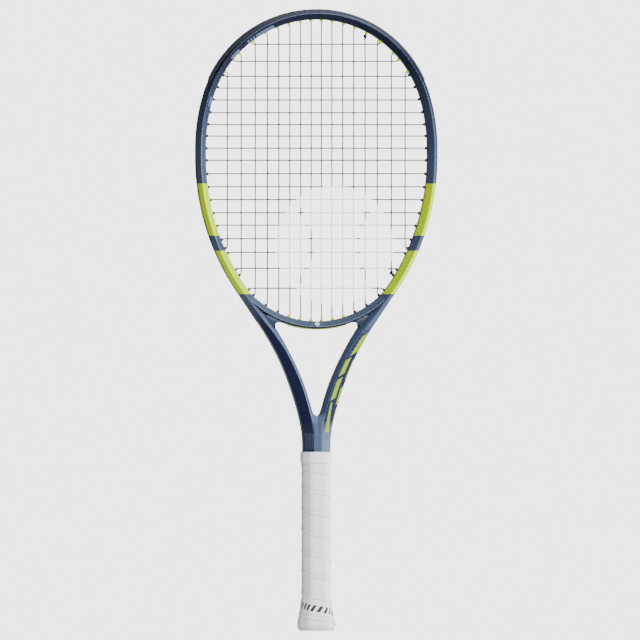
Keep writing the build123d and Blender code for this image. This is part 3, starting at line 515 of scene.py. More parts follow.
def frame_finish():
    """Blue-grey metallic paint that darkens to navy at the crown, with the yellow bands, a painted
    highlight along the ridge, plain light blocks, blades and rows of dashes, all placed by the tube's own
    length and facets."""
    paint = frame_paint("frame_paint")
    along_tube, facet = paint.surface_place()
    x, y, z = paint.place()
    s = along_tube.size()
    # 0 in the groove, 5.5 at the foot of the front and back inner bevels
    fold = (facet - FACET_MIDDLE).size()
    inner, ridge, outer = fold.between(4.3, 5.9), fold.between(3.85, 4.15), fold.between(2.7, 3.85)
    # the hand of each face whose shaft has the blades
    bladed = (x * y) < 0
    plain_hand = 1 - bladed
    shaft, bevel, stem = z.rise(362, 338), fold.between(2.45, 3.85), z.rise(232, 222)
    hull = paint.coats(
        paint.over(NAVY, SLATE, s.rise(120, 235)),
        ("0b1232", shaft * plain_hand * bevel),
        ("4a5873", shaft * plain_hand * inner),
        ("465671", shaft * bladed * inner),
        ("39465f", shaft * bladed * bevel),
        ("070d33", z.rise(336, 326) * z.rise(212, 222) * bladed * bevel),
        ("172136", stem * plain_hand),
        ("4b586f", stem * bladed),
        ("3f4b61", (x.size() < 3.9) * (z < 229.5)),
        ("4d5364", s.rise(125, 55) * fold.between(2.4, 3.8)))
    yellow = z.among(YELLOW_BANDS)
    unbanded = 1 - yellow
    light = s.among(LIGHT_BLOCKS) * (along_tube < 0) * fold.between(4.85, 5.35) * (z > 500)
    light = light + s.between(206, 232) * fold.between(4.4, 4.6) * plain_hand * 0.5
    # 0 at the ridge, 1 at the outer edge of the outer bevel
    reach = (3.4 - fold) / 0.8
    level = z - reach * 9 + 4.5
    above = z - BLADE_FOOT
    blades = above.between(0, 33) * ((reach - 0.5 + above * 0.006).size() < 0.17 - above * 0.003)
    for low, high, near, far in BLADES:
        blades = blades + level.between(low, high) * reach.between(near, far)
    dash = ((z / 1.9) % 1.0 < 0.5) * ((fold * 9) % 1.0 < 0.6)
    rows = z.between(200, 240) * bladed * fold.between(3.9, 5.2) * (x.size() > 5)
    rows = rows + z.between(200, 218) * plain_hand * outer
    rows = rows + z.between(302, 348) * ((z / 4.2) % 1.0 < 0.6) * fold.between(3.05, 3.3) * bladed
    hull = paint.coats(
        hull,
        (YELLOW, yellow),
        ("4f5b7a", light),
        ((0.20, 0.30, 0.0), blades * bladed),
        ("7684a0", rows * dash * 0.4),
        # painted highlight: the ridge's narrow flat is painted pale where light would catch it
        ("7c8bb0", ridge * unbanded * 0.85),
        ("0f1524", (fold < 1.45) * unbanded),
        ("222c44", fold.between(1.45, 2.45) * unbanded))
    return lacquer(paint, hull, unbanded, yellow * 0.06 + 0.3)


dress(tube_mesh(), frame_finish(), "racket", "frame_paint", "frame_hairpin")


# ---- the throat bridge ----
# A carbon arch moulded to the tube across the throat, with a web filling the corner under each end.
# It is painted with the frame, dark below its ridge and paler above.

ARCH_RADIUS = 107.3
ARCH_TURN = 50.0
ARCH_HALF_WIDTH = 4.1
ARCH_RIDGE = 2.05
WEB_START = 11.0
WEB_REACH = 19.0
ARCH_LEAVES = 31.5

# the arch's centre: a line rising from where its circle leaves the hoop meets the racket's middle there
leave_x, _, leave_z = hoop(BEND_ENDS[3] + FLANK_RADIUS * radians(ARCH_LEAVES))
ARCH_Z = leave_z + leave_x * np.tan(radians(ARCH_LEAVES))


def arch(turn, radius, v=0.0):
    """Points on the arch, turn degrees from its lowest point to the right, at a radius and a depth."""
    a = np.radians(turn)
    x, v, z = np.broadcast_arrays(radius * np.sin(a), v, ARCH_Z - radius * np.cos(a))
    return np.stack([x, v, z], -1)


def bridge_mesh():
    """The arch's outline carried round its circle, and four rounded cheeks for the webs."""
    low, high = ARCH_RADIUS - ARCH_HALF_WIDTH, ARCH_RADIUS + ARCH_HALF_WIDTH
    peak, floor = ARCH_RADIUS + ARCH_RIDGE, high - GROOVE_DEPTH
    front = [(low, 4.5), (peak - 0.5, 10.5), (peak + 0.5, 10.5), (high, 8.5), (high, GROOVE_HALF),
             (floor, GROOVE_HALF)]
    corners = np.array([(r, -v) for r, v in front] + [(r, v) for r, v in reversed(front)])
    outline, place = rounded(corners, TUBE_CUTS)
    turn = np.linspace(-ARCH_TURN, ARCH_TURN, 91)[:, None]
    ring = arch(turn, outline[None, :, 0], outline[None, :, 1])
    uv = np.stack(np.broadcast_arrays(turn, place[None]), -1)

    s = np.arange(BEND_ENDS[4] - 20, BEND_ENDS[5] + 60, 0.5)
    wall = hoop(s, -TUBE_WIDTH / 2)
    out = np.hypot(wall[:, 0], wall[:, 2] - ARCH_Z) - high
    meets = s[np.argmax(out > 0)]
    x, _, _ = hoop(meets, -TUBE_WIDTH / 2)
    corner_turn = np.degrees(np.arcsin(x / high))
    start = arch(corner_turn - WEB_START, high - 0.6)
    finish = hoop(meets + WEB_REACH, -TUBE_WIDTH / 2 + 0.6)
    pull = arch(corner_turn, high) * 0.42 + (start + finish) / 2 * 0.58
    t = np.linspace(0, 1, 14)[:, None]
    edge = start * (1 - t) ** 2 + pull * 2 * t * (1 - t) + finish * t ** 2
    inside = np.stack([hoop(meets + 0.7 * WEB_REACH, -2.0), hoop(meets, 0.0),
                       arch(corner_turn - 2, ARCH_RADIUS), arch(corner_turn - 0.7 * WEB_START, ARCH_RADIUS)])
    web = np.concatenate([edge, inside])[:, [0, 2]]
    depth = np.array([3.6, 3.75, 7.6, 8.6, 9.0])
    inset = np.array([0.15, 0.0, 0.0, 0.5, 1.6])
    towards = web.mean(0) - web
    towards /= np.linalg.norm(towards, axis=1, keepdims=True)
    flat = web[None] + towards[None] * inset[:, None, None]
    cheeks = []
    for to_right, to_back in ((1, 1), (1, -1), (-1, 1), (-1, -1)):
        deep = np.broadcast_to(to_back * depth[:, None], flat.shape[:2])
        cheeks.append(np.stack([to_right * flat[..., 0], deep, flat[..., 1]], -1))
    web_uv = np.broadcast_to([90.0, 2.5], (*flat.shape[:2], 2))
    return skin("bridge", [ring] + cheeks, [uv] + [web_uv] * 4, around=12)


def bridge_finish():
    """The frame's paint on the arch: paler above the ridge, darker below it, with a painted highlight
    along the ridge, painted shade on the webs towards the arch, and a plain diamond at the middle."""
    paint = frame_paint("bridge_paint")
    turn, facet = paint.surface_place()
    x, y, z = paint.place()
    fold = (facet - FACET_MIDDLE).size()
    upper = fold > 4.12
    # painted shade: each web darkens towards the arch, in the corner between the parts
    web = paint.over(tint("1b2438"), tint("3d4a61"), x.size().rise(46, 62) * ((x * y) > 0))
    diamond = x.size() + ((z - (ARCH_Z - ARCH_RADIUS + 1.2)) * 1.1).size() < 3.4
    hull = paint.coats(tint("0f1628"), ("475267", upper), (web, turn > 60),
                       # 7b89a6 is a painted highlight along the arch's ridge
                       ("7b89a6", fold.between(4.12, 4.4) * 0.9), ("c9d1de", diamond * upper))
    return lacquer(paint, hull, 1, 0.3)


dress(bridge_mesh(), bridge_finish(), "racket", "frame_paint", "throat_bridge")


# ---- the bumper guard ----
# A scuff guard of tough satin plastic, moulded in a shallow channel and held over the crown's groove
# by the string. Its face is grazed where it meets the court.

BUMPER_HALF = CROWN_RADIUS * radians(66.0)
BUMPER_SEAT, BUMPER_FACE = 5.42, 6.3


def bumper_mesh():
    """The channel's outline carried round the crown, its two ends drawn in to a taper."""
    near_end = np.array([0.0, 0.5, 1.5, 4.0])
    s = np.concatenate([-BUMPER_HALF + near_end, np.arange(-BUMPER_HALF + 7, BUMPER_HALF - 7, 2.0),
                        BUMPER_HALF - np.append(7.0, near_end[::-1])])
    half = [(BUMPER_SEAT, 7.0), (4.05, 9.0), (4.7, 9.6), (BUMPER_FACE, 7.4)]
    corners = np.array([(u, -v) for u, v in half] + half[::-1])
    outline, place = rounded(corners, [0.2, 0.15, 0.35, 0.7, 0.7, 0.35, 0.15, 0.2])
    end = np.clip((BUMPER_HALF - np.abs(s)) / 4.0, 0, 1)[:, None]
    out = outline[None, :, 0] - BUMPER_SEAT
    rise = BUMPER_SEAT + out * np.where(out > 0, 0.35 + 0.65 * end, 1)
    rings = hoop(s[:, None], rise, outline[None, :, 1])
    return skin("bumper", [rings], [np.stack(np.broadcast_arrays(s[:, None], place[None]), -1)], around=8)


def bumper_finish():
    """Satin grey plastic, fine-grained, with long pale scuffs over the very top and painted shade on its
    left.
    """
    plastic = Finish("bumper_plastic", {"Specular IOR Level": 0.4})
    along_guard, side = plastic.surface_place()
    grain = plastic.grain(1500, 3.0, 0.6)
    scuff = plastic.grain(90, 4.0, 0.65, (1.0, 6.0, 6.0)).rise(0.56, 0.72)
    scuff = scuff * (1 - along_guard.size().rise(25, 110))
    # 141a2c is painted shade: the guard darkens along its left half, away from the light
    hull = plastic.coats(tint("3c3f49"), ("545863", grain.rise(0.35, 0.7) * 0.5),
                         ("7b8396", scuff * side.between(3.1, 3.9) * 0.35),
                         ("141a2c", along_guard.rise(20, -140) * 0.75))
    return plastic.lay(hull, scuff * 0.2 + grain * 0.1 + 0.46, grain * 0.7 + scuff * 0.5, 0.05)


dress(bumper_mesh(), bumper_finish(), "racket", "bumper_plastic", "bumper_guard")


# ---- the grommet strips ----
# Soft nylon strips pushed into the groove from outside, each with a hollow barrel through the tube
# for every string end. The crown's and the bridge's are yellow, the others black; the bridge's has two
# thin rails that stand out past its groove.

MAIN_SHARE = np.array([0.0461, 0.1407, 0.2385, 0.3379, 0.4406, 0.5505, 0.6774, 0.8019])
CROSS_SHARE = np.array([0.0817, 0.1384, 0.1881, 0.2270, 0.2665, 0.3087, 0.3482, 0.3862, 0.4263, 0.4664,
                        0.5107, 0.5541, 0.5966, 0.6400, 0.6813, 0.7262, 0.7714, 0.8245, 0.8905])
STRIP_FLOOR, STRIP_TOP, STRIP_HALF = 3.0, 3.85, 3.3
STRING_LEVEL = 4.65
STRING_RADIUS = 0.65
STAND_OUT = 2.6
BEND_GAP = 1.2
CORNER = -TUBE_WIDTH / 2 - STAND_OUT - BEND_GAP
HOOP_BARREL, ARCH_BARREL = 12.6, 9.8
ARCH_FLOOR, ARCH_TOP, ARCH_STRING = 109.0, 109.85, 110.65
MIRROR = np.array([-1.0, 1, 1])

inner_top = hoop(0, -TUBE_WIDTH / 2)[2]
inner_side = hoop(BEND_ENDS[2] - 0.01, -TUBE_WIDTH / 2)[0]
arch_inner = ARCH_RADIUS - ARCH_HALF_WIDTH
ARCH_CORNER = arch_inner - STAND_OUT - BEND_GAP
MAIN_X = MAIN_SHARE * inner_side
CROSS_Z = inner_top - CROSS_SHARE * (inner_top - ARCH_Z + arch_inner)


def first_s(level, axis, value, low, high):
    """The s between low and high at which a line at this level crosses each value of x or z."""
    s = np.arange(low, high, TRACK_STEP)
    along_axis = hoop(s, level)[:, axis]
    order = np.argsort(along_axis)
    return np.interp(value, along_axis[order], s[order])


HEAD_S = first_s(CORNER, 0, MAIN_X, 0, 150)
CROSS_S = first_s(CORNER, 2, CROSS_Z, 20, BEND_ENDS[5])
SIDE_S = first_s(CORNER, 0, MAIN_X[6:], BEND_ENDS[3], BEND_ENDS[5])
ARCH_TURNS = np.degrees(np.arcsin(MAIN_X[:6] / ARCH_CORNER))


def shaft_level(turn):
    """How far out along the arch's radius the shaft's string level is, and the s there."""
    radius = np.arange(ARCH_RADIUS, ARCH_RADIUS + 45, 0.2)
    way = arch(turn, radius)
    s = np.arange(BEND_ENDS[3], BEND_ENDS[5] + 40, 0.4)
    line = hoop(s, STRING_LEVEL)
    apart = np.linalg.norm(way[:, None] - line[None], axis=-1)
    i, j = np.unravel_index(apart.argmin(), apart.shape)
    return radius[i], s[j]


THROUGH = [shaft_level(turn) for turn in ARCH_TURNS[4:]]


def ways(s):
    """Where the hoop's string ends bend at s, and the direction outwards through the tube."""
    return hoop(s, CORNER), unit(hoop(s, 1.0) - hoop(s, 0.0))


def arch_ways(turn):
    """The same for string ends through the bridge."""
    return arch(turn, ARCH_CORNER), unit(arch(turn, 2.0) - arch(turn, 1.0))


def barrels(corner, direction, length, cone=0.9, columns=20):
    """Hollow barrels (K, rows, columns, 3), each a profile of (distance, radius) turned about its way out.

    The profile runs down the bore, over the rounded lip, and out along a wall that flares to its base.
    """
    height = STAND_OUT + BEND_GAP
    wall = np.array([[length, 0.95], [height + 1.0, 0.95], [1.45, 0.95], [1.25, 1.02], [1.2, 1.22],
                     [1.28, 1.42], [1.55, 1.58], [2.2, 1.68], [3.0, 1.68 + 0.35 * cone],
                     [height - 0.25, 1.72 + 0.75 * cone], [height + 0.3, 1.78 + 1.3 * cone],
                     [height + 1.6, 1.85], [length, 1.85]])
    distance = np.broadcast_to(wall[:, 0], (len(corner), len(wall))).copy()
    a = np.linspace(0, 2 * np.pi, columns, endpoint=False)
    across = np.cross(direction, [0, 1.0, 0])
    ring = np.cos(a)[:, None] * across[:, None, :] + np.sin(a)[:, None] * np.array([0, 1.0, 0])
    centre = corner[:, None, :] + direction[:, None, :] * distance[..., None]
    return centre[:, :, None, :] + ring[:, None] * wall[None, :, 1, None, None]


def strip_section(floor, top):
    """A strip's flat outline between two levels, as the levels and depths of one row of points."""
    corners = np.array([(floor, -STRIP_HALF), (top, -STRIP_HALF), (top, STRIP_HALF), (floor, STRIP_HALF)])
    outline, _ = rounded(corners, [0.1, 0.3, 0.3, 0.1], 3)
    return outline[None, :, 0], outline[None, :, 1]


def strip_rings(low, high, step=2.0):
    s = np.linspace(low, high, int(abs(high - low) / step) + 2)
    return hoop(s[:, None], *strip_section(STRIP_FLOOR, STRIP_TOP))


def both(grids):
    """The right-hand grids and their mirror images across the racket's middle."""
    return grids + [grid * MIRROR for grid in grids]


def nylon(name, colour, shine):
    """Moulded nylon: even colour with a faint mottle, a slightly dull skin and fine flow marks."""
    stuff = Finish(name, {"Specular IOR Level": 0.5})
    mottle, grain = stuff.grain(260), stuff.grain(2200)
    dull = tuple(c * 0.62 for c in colour)
    hull = stuff.over(colour, dull, mottle.rise(0.4, 0.75) * 0.45 + grain.rise(0.5, 0.8) * 0.15)
    return stuff.lay(hull, mottle * 0.12 + shine, grain * 0.6 + mottle * 0.4, 0.025)


yellow_nylon = nylon("yellow_nylon", (0.56, 0.72, 0.0), 0.38)
black_nylon = nylon("black_nylon", tint("0d0f14"), 0.36)
last_yellow = HEAD_S[-1]

crown = [strip_rings(-last_yellow - 2.0, last_yellow + 2.0)]
crown += both([barrels(*ways(np.concatenate([HEAD_S, CROSS_S[:2]])), HOOP_BARREL)])
dress(skin("crown_grommets", crown), yellow_nylon, "racket", "yellow_grommet", "crown_grommet_strip")

arch_section = strip_section(ARCH_FLOOR, ARCH_TOP)
yellow_turn = ARCH_TURNS[2] + 1.5
arch_strip = [arch(np.linspace(-yellow_turn, yellow_turn, 40)[:, None], *arch_section)]
arch_strip += both([barrels(*arch_ways(ARCH_TURNS[:3]), ARCH_BARREL)])
rail_turns = np.linspace(-yellow_turn, yellow_turn, 60)[:, None]
rail_foot = ARCH_FLOOR + 0.2
rail_top = rail_foot + 0.2 + 3.0 * np.clip((yellow_turn - np.abs(rail_turns)) / 2.5, 0, 1) ** 0.5
for near, far in ((-3.3, -2.75), (2.75, 3.3)):
    rail_v = np.array([near, near, (near + far) / 2, far, far])
    rail_r = rail_foot + (rail_top - rail_foot) * np.array([0, 0.9, 1.0, 0.9, 0])
    arch_strip.append(arch(rail_turns, rail_r, rail_v))
dress(skin("bridge_grommets", arch_strip), yellow_nylon, "racket", "yellow_grommet", "bridge_grommet_strip")

end_turns = np.linspace(ARCH_TURNS[3] - 1.9, ARCH_TURNS[3] + 1.7, 6)[:, None]
end_grommets = [arch(end_turns, *arch_section), barrels(*arch_ways(ARCH_TURNS[3:4]), ARCH_BARREL, 0.2)]
dress(skin("bridge_end_pair", both(end_grommets)), black_nylon, "racket", "black_grommet",
      "bridge_end_grommets")

corner, way = arch_ways(ARCH_TURNS[4:])
through = [barrels(corner[i:i + 1], way[i:i + 1], reach - ARCH_CORNER - 0.9, 0.2)
           for i, (reach, _) in enumerate(THROUGH)]
side_end = max(s for _, s in THROUGH) + 4.0
side = [strip_rings(last_yellow + 2.5, side_end)] + through
side += [barrels(*ways(np.concatenate([CROSS_S[2:], SIDE_S])), HOOP_BARREL, 0.2)]
dress(skin("side_grommets_right", side), black_nylon, "racket", "black_grommet", "side_grommet_strip_right")
dress(skin("side_grommets_left", [grid * MIRROR for grid in side]), black_nylon, "racket", "black_grommet",
      "side_grommet_strip_left")


# ---- the string ----
# One synthetic cord, woven over and under, pulled through the sixteen mains and then the nineteen
# crosses, and lying in the groove between them. A round ball mark is stencilled on it in white.

WEAVE = 0.66
GROOVE_CUT, MOUTH_CUT = 1.4, 1.6
BALL_X, BALL_Z, BALL_RADIUS = 20, 425, 66
SEAM_AWAY, SEAM_HALF = 92, 2.6


def over_under(at, crossings, start):
    """How far towards the back a string stands: the cosine of half a turn for each crossing passed.

    Outside the last crossings it holds its swing and eases to nothing at the frame.
    """
    turn = np.interp(at, crossings, np.pi * np.arange(len(crossings)))
    outside = np.maximum(crossings[0] - at, at - crossings[-1])
    return WEAVE * np.cos(turn + np.pi * start) * np.clip(1 - outside / 14, 0, 1)


ALL_X = np.concatenate([-MAIN_X[::-1], MAIN_X])


def end_pair(name, index, sign):
    """The mouth's bend and the place in the groove of one string end, with its s or its turn."""
    if name != "throat" or index >= 6:
        along, first = {"cross": (CROSS_S, 0), "head": (HEAD_S, 0), "throat": (SIDE_S, 6)}[name]
        s = along[index - first] * sign
        return hoop(s, CORNER), hoop(s, STRING_LEVEL), s, None
    turn = ARCH_TURNS[index] * sign
    bend = arch(turn, ARCH_CORNER)
    if index < 4:
        return bend, arch(turn, ARCH_STRING), None, turn
    reach, s = THROUGH[index - 4]
    return bend, arch(turn, reach), s * sign, None


class Cord:
    """The string's line: its points in the order it is pulled through, with the rounding of each."""

    def __init__(self):
        self.points, self.cuts = [], []

    def add(self, points, cut):
        points = np.atleast_2d(points)
        self.points.append(points)
        self.cuts.append(np.full(len(points), float(cut)))

    def span(self, first, second, woven, step=2.4):
        """In through one end and out at another, woven between."""
        bend_a, out_a, *_ = first
        bend_b, out_b, *_ = second
        self.add(out_a, GROOVE_CUT)
        self.add(bend_a, MOUTH_CUT)
        count = int(np.linalg.norm(bend_b - bend_a) / step)
        line = bend_a + (bend_b - bend_a) * np.linspace(0, 1, count + 2)[1:-1, None]
        line[:, 1] += woven(line)
        self.add(line, 0)
        self.add(bend_b, MOUTH_CUT)
        self.add(out_b, GROOVE_CUT)

    def hop(self, first, second, aside=None):
        """Along the groove from one end to the next, straying to one side of it where another lies there."""
        s, s2, turn, turn2 = first[2], second[2], first[3], second[3]
        if s is not None and s2 is not None:
            at = np.linspace(s, s2, int(abs(s2 - s) / 3) + 2)[1:-1]
            from_ends = np.minimum(np.abs(at - s), np.abs(at - s2))
            v = 0 if aside is None else aside * np.clip(from_ends / 6, 0, 1)
            self.add(hoop(at, STRING_LEVEL, v), 0)
        elif turn is not None and turn2 is not None:
            self.add(arch(np.linspace(turn, turn2, 5)[1:-1], ARCH_STRING), 0)

    def line(self):
        """The whole line, each rounded corner being a quadratic curve between its two sides."""
        p, cut = np.concatenate(self.points), np.concatenate(self.cuts)
        before, after = np.roll(p, 1, 0), np.roll(p, -1, 0)
        before[0], after[-1] = p[0], p[-1]
        runs = [np.maximum(np.linalg.norm(q - p, axis=1, keepdims=True), 1e-6) for q in (before, after)]
        share = [np.minimum(cut[:, None] / run, MOST_CUT) for run in runs]
        a, c = p + (before - p) * share[0], p + (after - p) * share[1]
        t = np.linspace(0, 1, 5)[None, :, None]
        curve = a[:, None] * (1 - t) ** 2 + p[:, None] * 2 * t * (1 - t) + c[:, None] * t ** 2
        keep = np.repeat(cut[:, None] > 0, 5, 1)
        keep[:, 2] = True
        return curve[keep]


def cord_rings(line, radius, sides=8):
    """Rings square to a line, their first column turned towards the racket's back."""
    ahead = unit(np.gradient(line, axis=0))
    across = unit(np.cross(ahead, [0, 1.0, 0.02]))
    up = np.cross(across, ahead)
    a = np.linspace(0, 2 * np.pi, sides, endpoint=False)
    return line[:, None] + radius * (np.cos(a)[:, None] * across[:, None] + np.sin(a)[:, None] * up[:, None])


def tail(end, aside):
    """A tied end's three points, from its knot out to the groove, each with its rounding."""
    bend, out = end[:2]
    return [(bend - unit(out - bend) * 1.6 + [0, -1.6, 0], 0), (bend + [0, -0.5, 0], 1.0),
            (out + [0, -aside, 0], 1.2)]


def thread_racket():
    """The whole route: the right mains from the outside in, the left from the inside out, then crosses."""
    cord = Cord()
    order = [(i, 1) for i in range(7, -1, -1)] + [(i, -1) for i in range(8)]
    tie = end_pair("head", 4, 1)
    for point, cut in tail(tie, 1.4):
        cord.add(point, cut)
    cord.hop(tie, end_pair("head", 7, 1), -2.0)
    last = None
    for step, (i, sign) in enumerate(order):
        column = 8 + i if sign > 0 else 7 - i
        ends = [end_pair("head", i, sign), end_pair("throat", i, sign)]
        if step % 2:
            ends.reverse()
        if last:
            cord.hop(last, ends[0])
        cord.span(*ends, lambda p, c=column: over_under(-p[:, 2], -CROSS_Z, c))
        last = ends[1]
    for k in range(19):
        ends = [end_pair("cross", k, -1), end_pair("cross", k, 1)]
        if k % 2:
            ends.reverse()
        cord.hop(last, ends[0], -1.6 if k == 0 else None)
        cord.span(*ends, lambda p, c=k: over_under(p[:, 0], ALL_X, c + 1))
        last = ends[1]
    finish = end_pair("throat", 6, 1)
    cord.hop(last, finish)
    for point, cut in reversed(tail(finish, 1.0)):
        cord.add(point, cut)
    return cord.line()


def string_finish():
    """Black polyester with a soft sheen and faint winding lines, stencilled white over a round ball mark
    with two unpainted seam curves. The ink is thin and worn where the strings rub."""
    cord = Finish("string_cord", {"Specular IOR Level": 0.25})
    x, y, z = cord.place()
    grain, rub = cord.grain(3200), cord.grain(420)
    right, up = x - BALL_X, z - BALL_Z
    ball = (right * right + up * up).root() < BALL_RADIUS
    seams = 0
    for away in (right + SEAM_AWAY, right - SEAM_AWAY):
        seams = (((away * away + up * up).root() - BALL_RADIUS).size() < SEAM_HALF) + seams
    inked = ball * (1 - seams) * (y < 0.3) * (0.97 - rub.rise(0.62, 0.75) * 0.35)
    hull = cord.coats(tint("040507"), ("12151c", grain.rise(0.45, 0.75) * 0.35), ("fbfbfb", inked))
    return cord.lay(hull, inked * 0.3 + grain * 0.12 + 0.34, grain, 0.02)


string_paint = string_finish()
string_bed = skin("string_bed", [cord_rings(thread_racket(), STRING_RADIUS)], sharp=60)
dress(string_bed, string_paint, "racket", "string_cord", "string")


# ---- the knots ----
# A double half hitch at each end of the string, pulled tight round a main beside its grommet, with a
# short cut tail.

HITCH_TURNS = 3
HITCH_RADIUS = 0.6


def hitch(index, name, towards, lean):
    """Three turns round a main that climb like a screw, and a tail that leans away to its cut end."""
    bend, *_ = end_pair(name, index, 1)
    t = np.linspace(0, 1, 60)
    a = 2 * np.pi * HITCH_TURNS * t
    ring = 2 * STRING_RADIUS + 0.02
    turns = np.stack([bend[0] + ring * np.cos(a), ring * np.sin(a), bend[2] + towards * (3.4 * t - 0.7)], 1)
    ahead = np.array([lean * 0.8, -0.35, towards * 0.5])
    end = turns[-1] + np.linspace(0.05, 1, 6)[:, None] * ahead * 4.2
    first = cord_rings(turns, HITCH_RADIUS, 10)
    over = np.stack([bend[0] + (ring + 0.25) * np.cos(a * 0.4 + 1), (ring + 0.25) * np.sin(a * 0.4 + 1),
                     bend[2] + towards * (2.2 - 2.6 * t)], 1)
    return [first, cord_rings(end, HITCH_RADIUS, 10), cord_rings(over, 0.55, 10)]


knots = hitch(4, "head", -1, -1) + hitch(6, "throat", 1, -1)
dress(skin("string_hitches", knots, sharp=60), string_paint, "racket", "string_cord", "string_knots")


# ---- the butt cap ----
# A hard cap pressed over the foam handle's lower end and stapled, flared to stop the hand, with a
# round opening in its floor for the plug. White moulded plastic with a fine spark-eroded skin.

BEVEL = 0.22


def eight_sided(q, width, depth, round_share=0.28):
    """Points (..., 2) at q corners round an eight-sided handle of this width and depth.

    Each corner is a quadratic curve between points a share along its two sides, so the outline is the
    same mix of the eight corners at any size.
    """
    w, d, b = np.asarray(width) / 2, np.asarray(depth) / 2, BEVEL * np.asarray(width)
    xs = np.stack(np.broadcast_arrays(b - w, w - b, w, w, w - b, b - w, -w, -w), -1)
    ys = np.stack(np.broadcast_arrays(-d, -d, b - d, d - b, d, d, d - b, b - d), -1)
    corner = np.floor(q + 0.5).astype(int)
    off = q + 0.5 - corner
    t = np.clip((off - 0.5) / (2 * round_share) + 0.5, 0, 1)
    mix = np.zeros((*q.shape, 8))
    share = 1 - round_share
    straight = np.clip(np.abs(off - 0.5), round_share, 0.5)
    outside = np.abs(off - 0.5) > round_share
    before, here, after = (corner - 1) % 8, corner % 8, (corner + 1) % 8
    weight_before = np.where(outside, np.where(off < 0.5, straight, 0), (1 - t) ** 2 * round_share)
    weight_after = np.where(outside, np.where(off > 0.5, straight, 0), t ** 2 * round_share)
    weight_here = np.where(outside, 1 - straight, (1 - t) ** 2 * share + 2 * t * (1 - t) + t ** 2 * share)
    index = np.indices(q.shape)
    np.add.at(mix, (*index, before), weight_before)
    np.add.at(mix, (*index, here), weight_here)
    np.add.at(mix, (*index, after), weight_after)
    return np.stack([(mix * xs).sum(-1), (mix * ys).sum(-1)], -1)


AROUND = np.linspace(0, 8, 64, endpoint=False)


def handle_rings(levels):
    """Rings (rows, columns, 3) at each (height, width, depth); a width alone is a round ring of that size."""
    height = np.array([level[0] for level in levels])[:, None]
    width = np.array([level[1] for level in levels])[:, None]
    depth = np.array([level[2] if len(level) > 2 else level[1] for level in levels])[:, None]
    q = np.broadcast_to(AROUND, (len(levels), len(AROUND)))
    flat = eight_sided(q, width, depth)
    turn = np.arctan2(flat[..., 1], flat[..., 0])
    ring = np.stack([np.cos(turn), np.sin(turn)], -1) * width[..., None] / 2
    flat = np.where(np.array([len(level) < 3 for level in levels])[:, None, None], ring, flat)
    return np.concatenate([flat, np.broadcast_to(height[..., None], (*flat.shape[:2], 1))], -1)


def moulded_white(name, low, high, rough):
    """White moulded plastic or rubber: pale grey mottle, greyer toward its lower edge, and a fine grain."""
    stuff = Finish(name, {"Specular IOR Level": 0.45})
    x, y, z = stuff.place()
    mottle, grain = stuff.grain(120, 3.0), stuff.grain(1900, 3.0)
    hull = stuff.coats(tint("e8e9eb"), ("d2d4d8", mottle.rise(0.42, 0.72) * 0.6),
                       ("c2c4c8", z.rise(high, low) * grain.rise(0.42, 0.66) * 0.45))
    return stuff.lay(hull, mottle * 0.12 + rough, grain, 0.03)


cap_levels = [(34, 29.6, 26.4), (34, 31.6, 28.4), (24, 32.7, 29.5), (16, 35.3, 32.1), (9, 39.0, 35.8),
              (4.5, 38.8, 35.6), (2.5, 38.4, 35.2), (1.2, 37.4, 34.2), (0.4, 36.1, 32.9), (0, 34.8, 31.6),
              (0, 28, 26.5), (0, 22.9), (0.35, 22.2), (2.3, 22.2), (2.3, 19.9), (5, 19.8), (5, 24.2, 21),
              (14, 24.2, 21), (14, 29.2, 26), (33.6, 29.2, 26)]
cap = skin("butt_cap_moulding", [handle_rings(cap_levels)], close_rows=True)
dress(cap, moulded_white("butt_plastic", 0, 6, 0.42), "racket", "butt_plastic", "butt_cap")


# ---- the grip ----
# A white cushioned tape wound up the handle from the butt, each turn lapping the edge of the last. Its
# skin is soft polyurethane, finely grained, with small creases from the winding.

LAY = 23.2
LAP = 3.0
FRONT_LAP = 11.0
SIDES = 8
TURNS_BELOW, TURNS_ABOVE = 1, 8.6
GRIP_FOOT, GRIP_HEAD = 3.0, 184.0
GRIP_FORM = np.array([(3, 40.8, 37.6), (9, 42.4, 39.2), (16, 38.7, 35.5), (24, 36.1, 32.9), (40, 32.6, 29.4),
                      (184, 32.6, 29.4)])


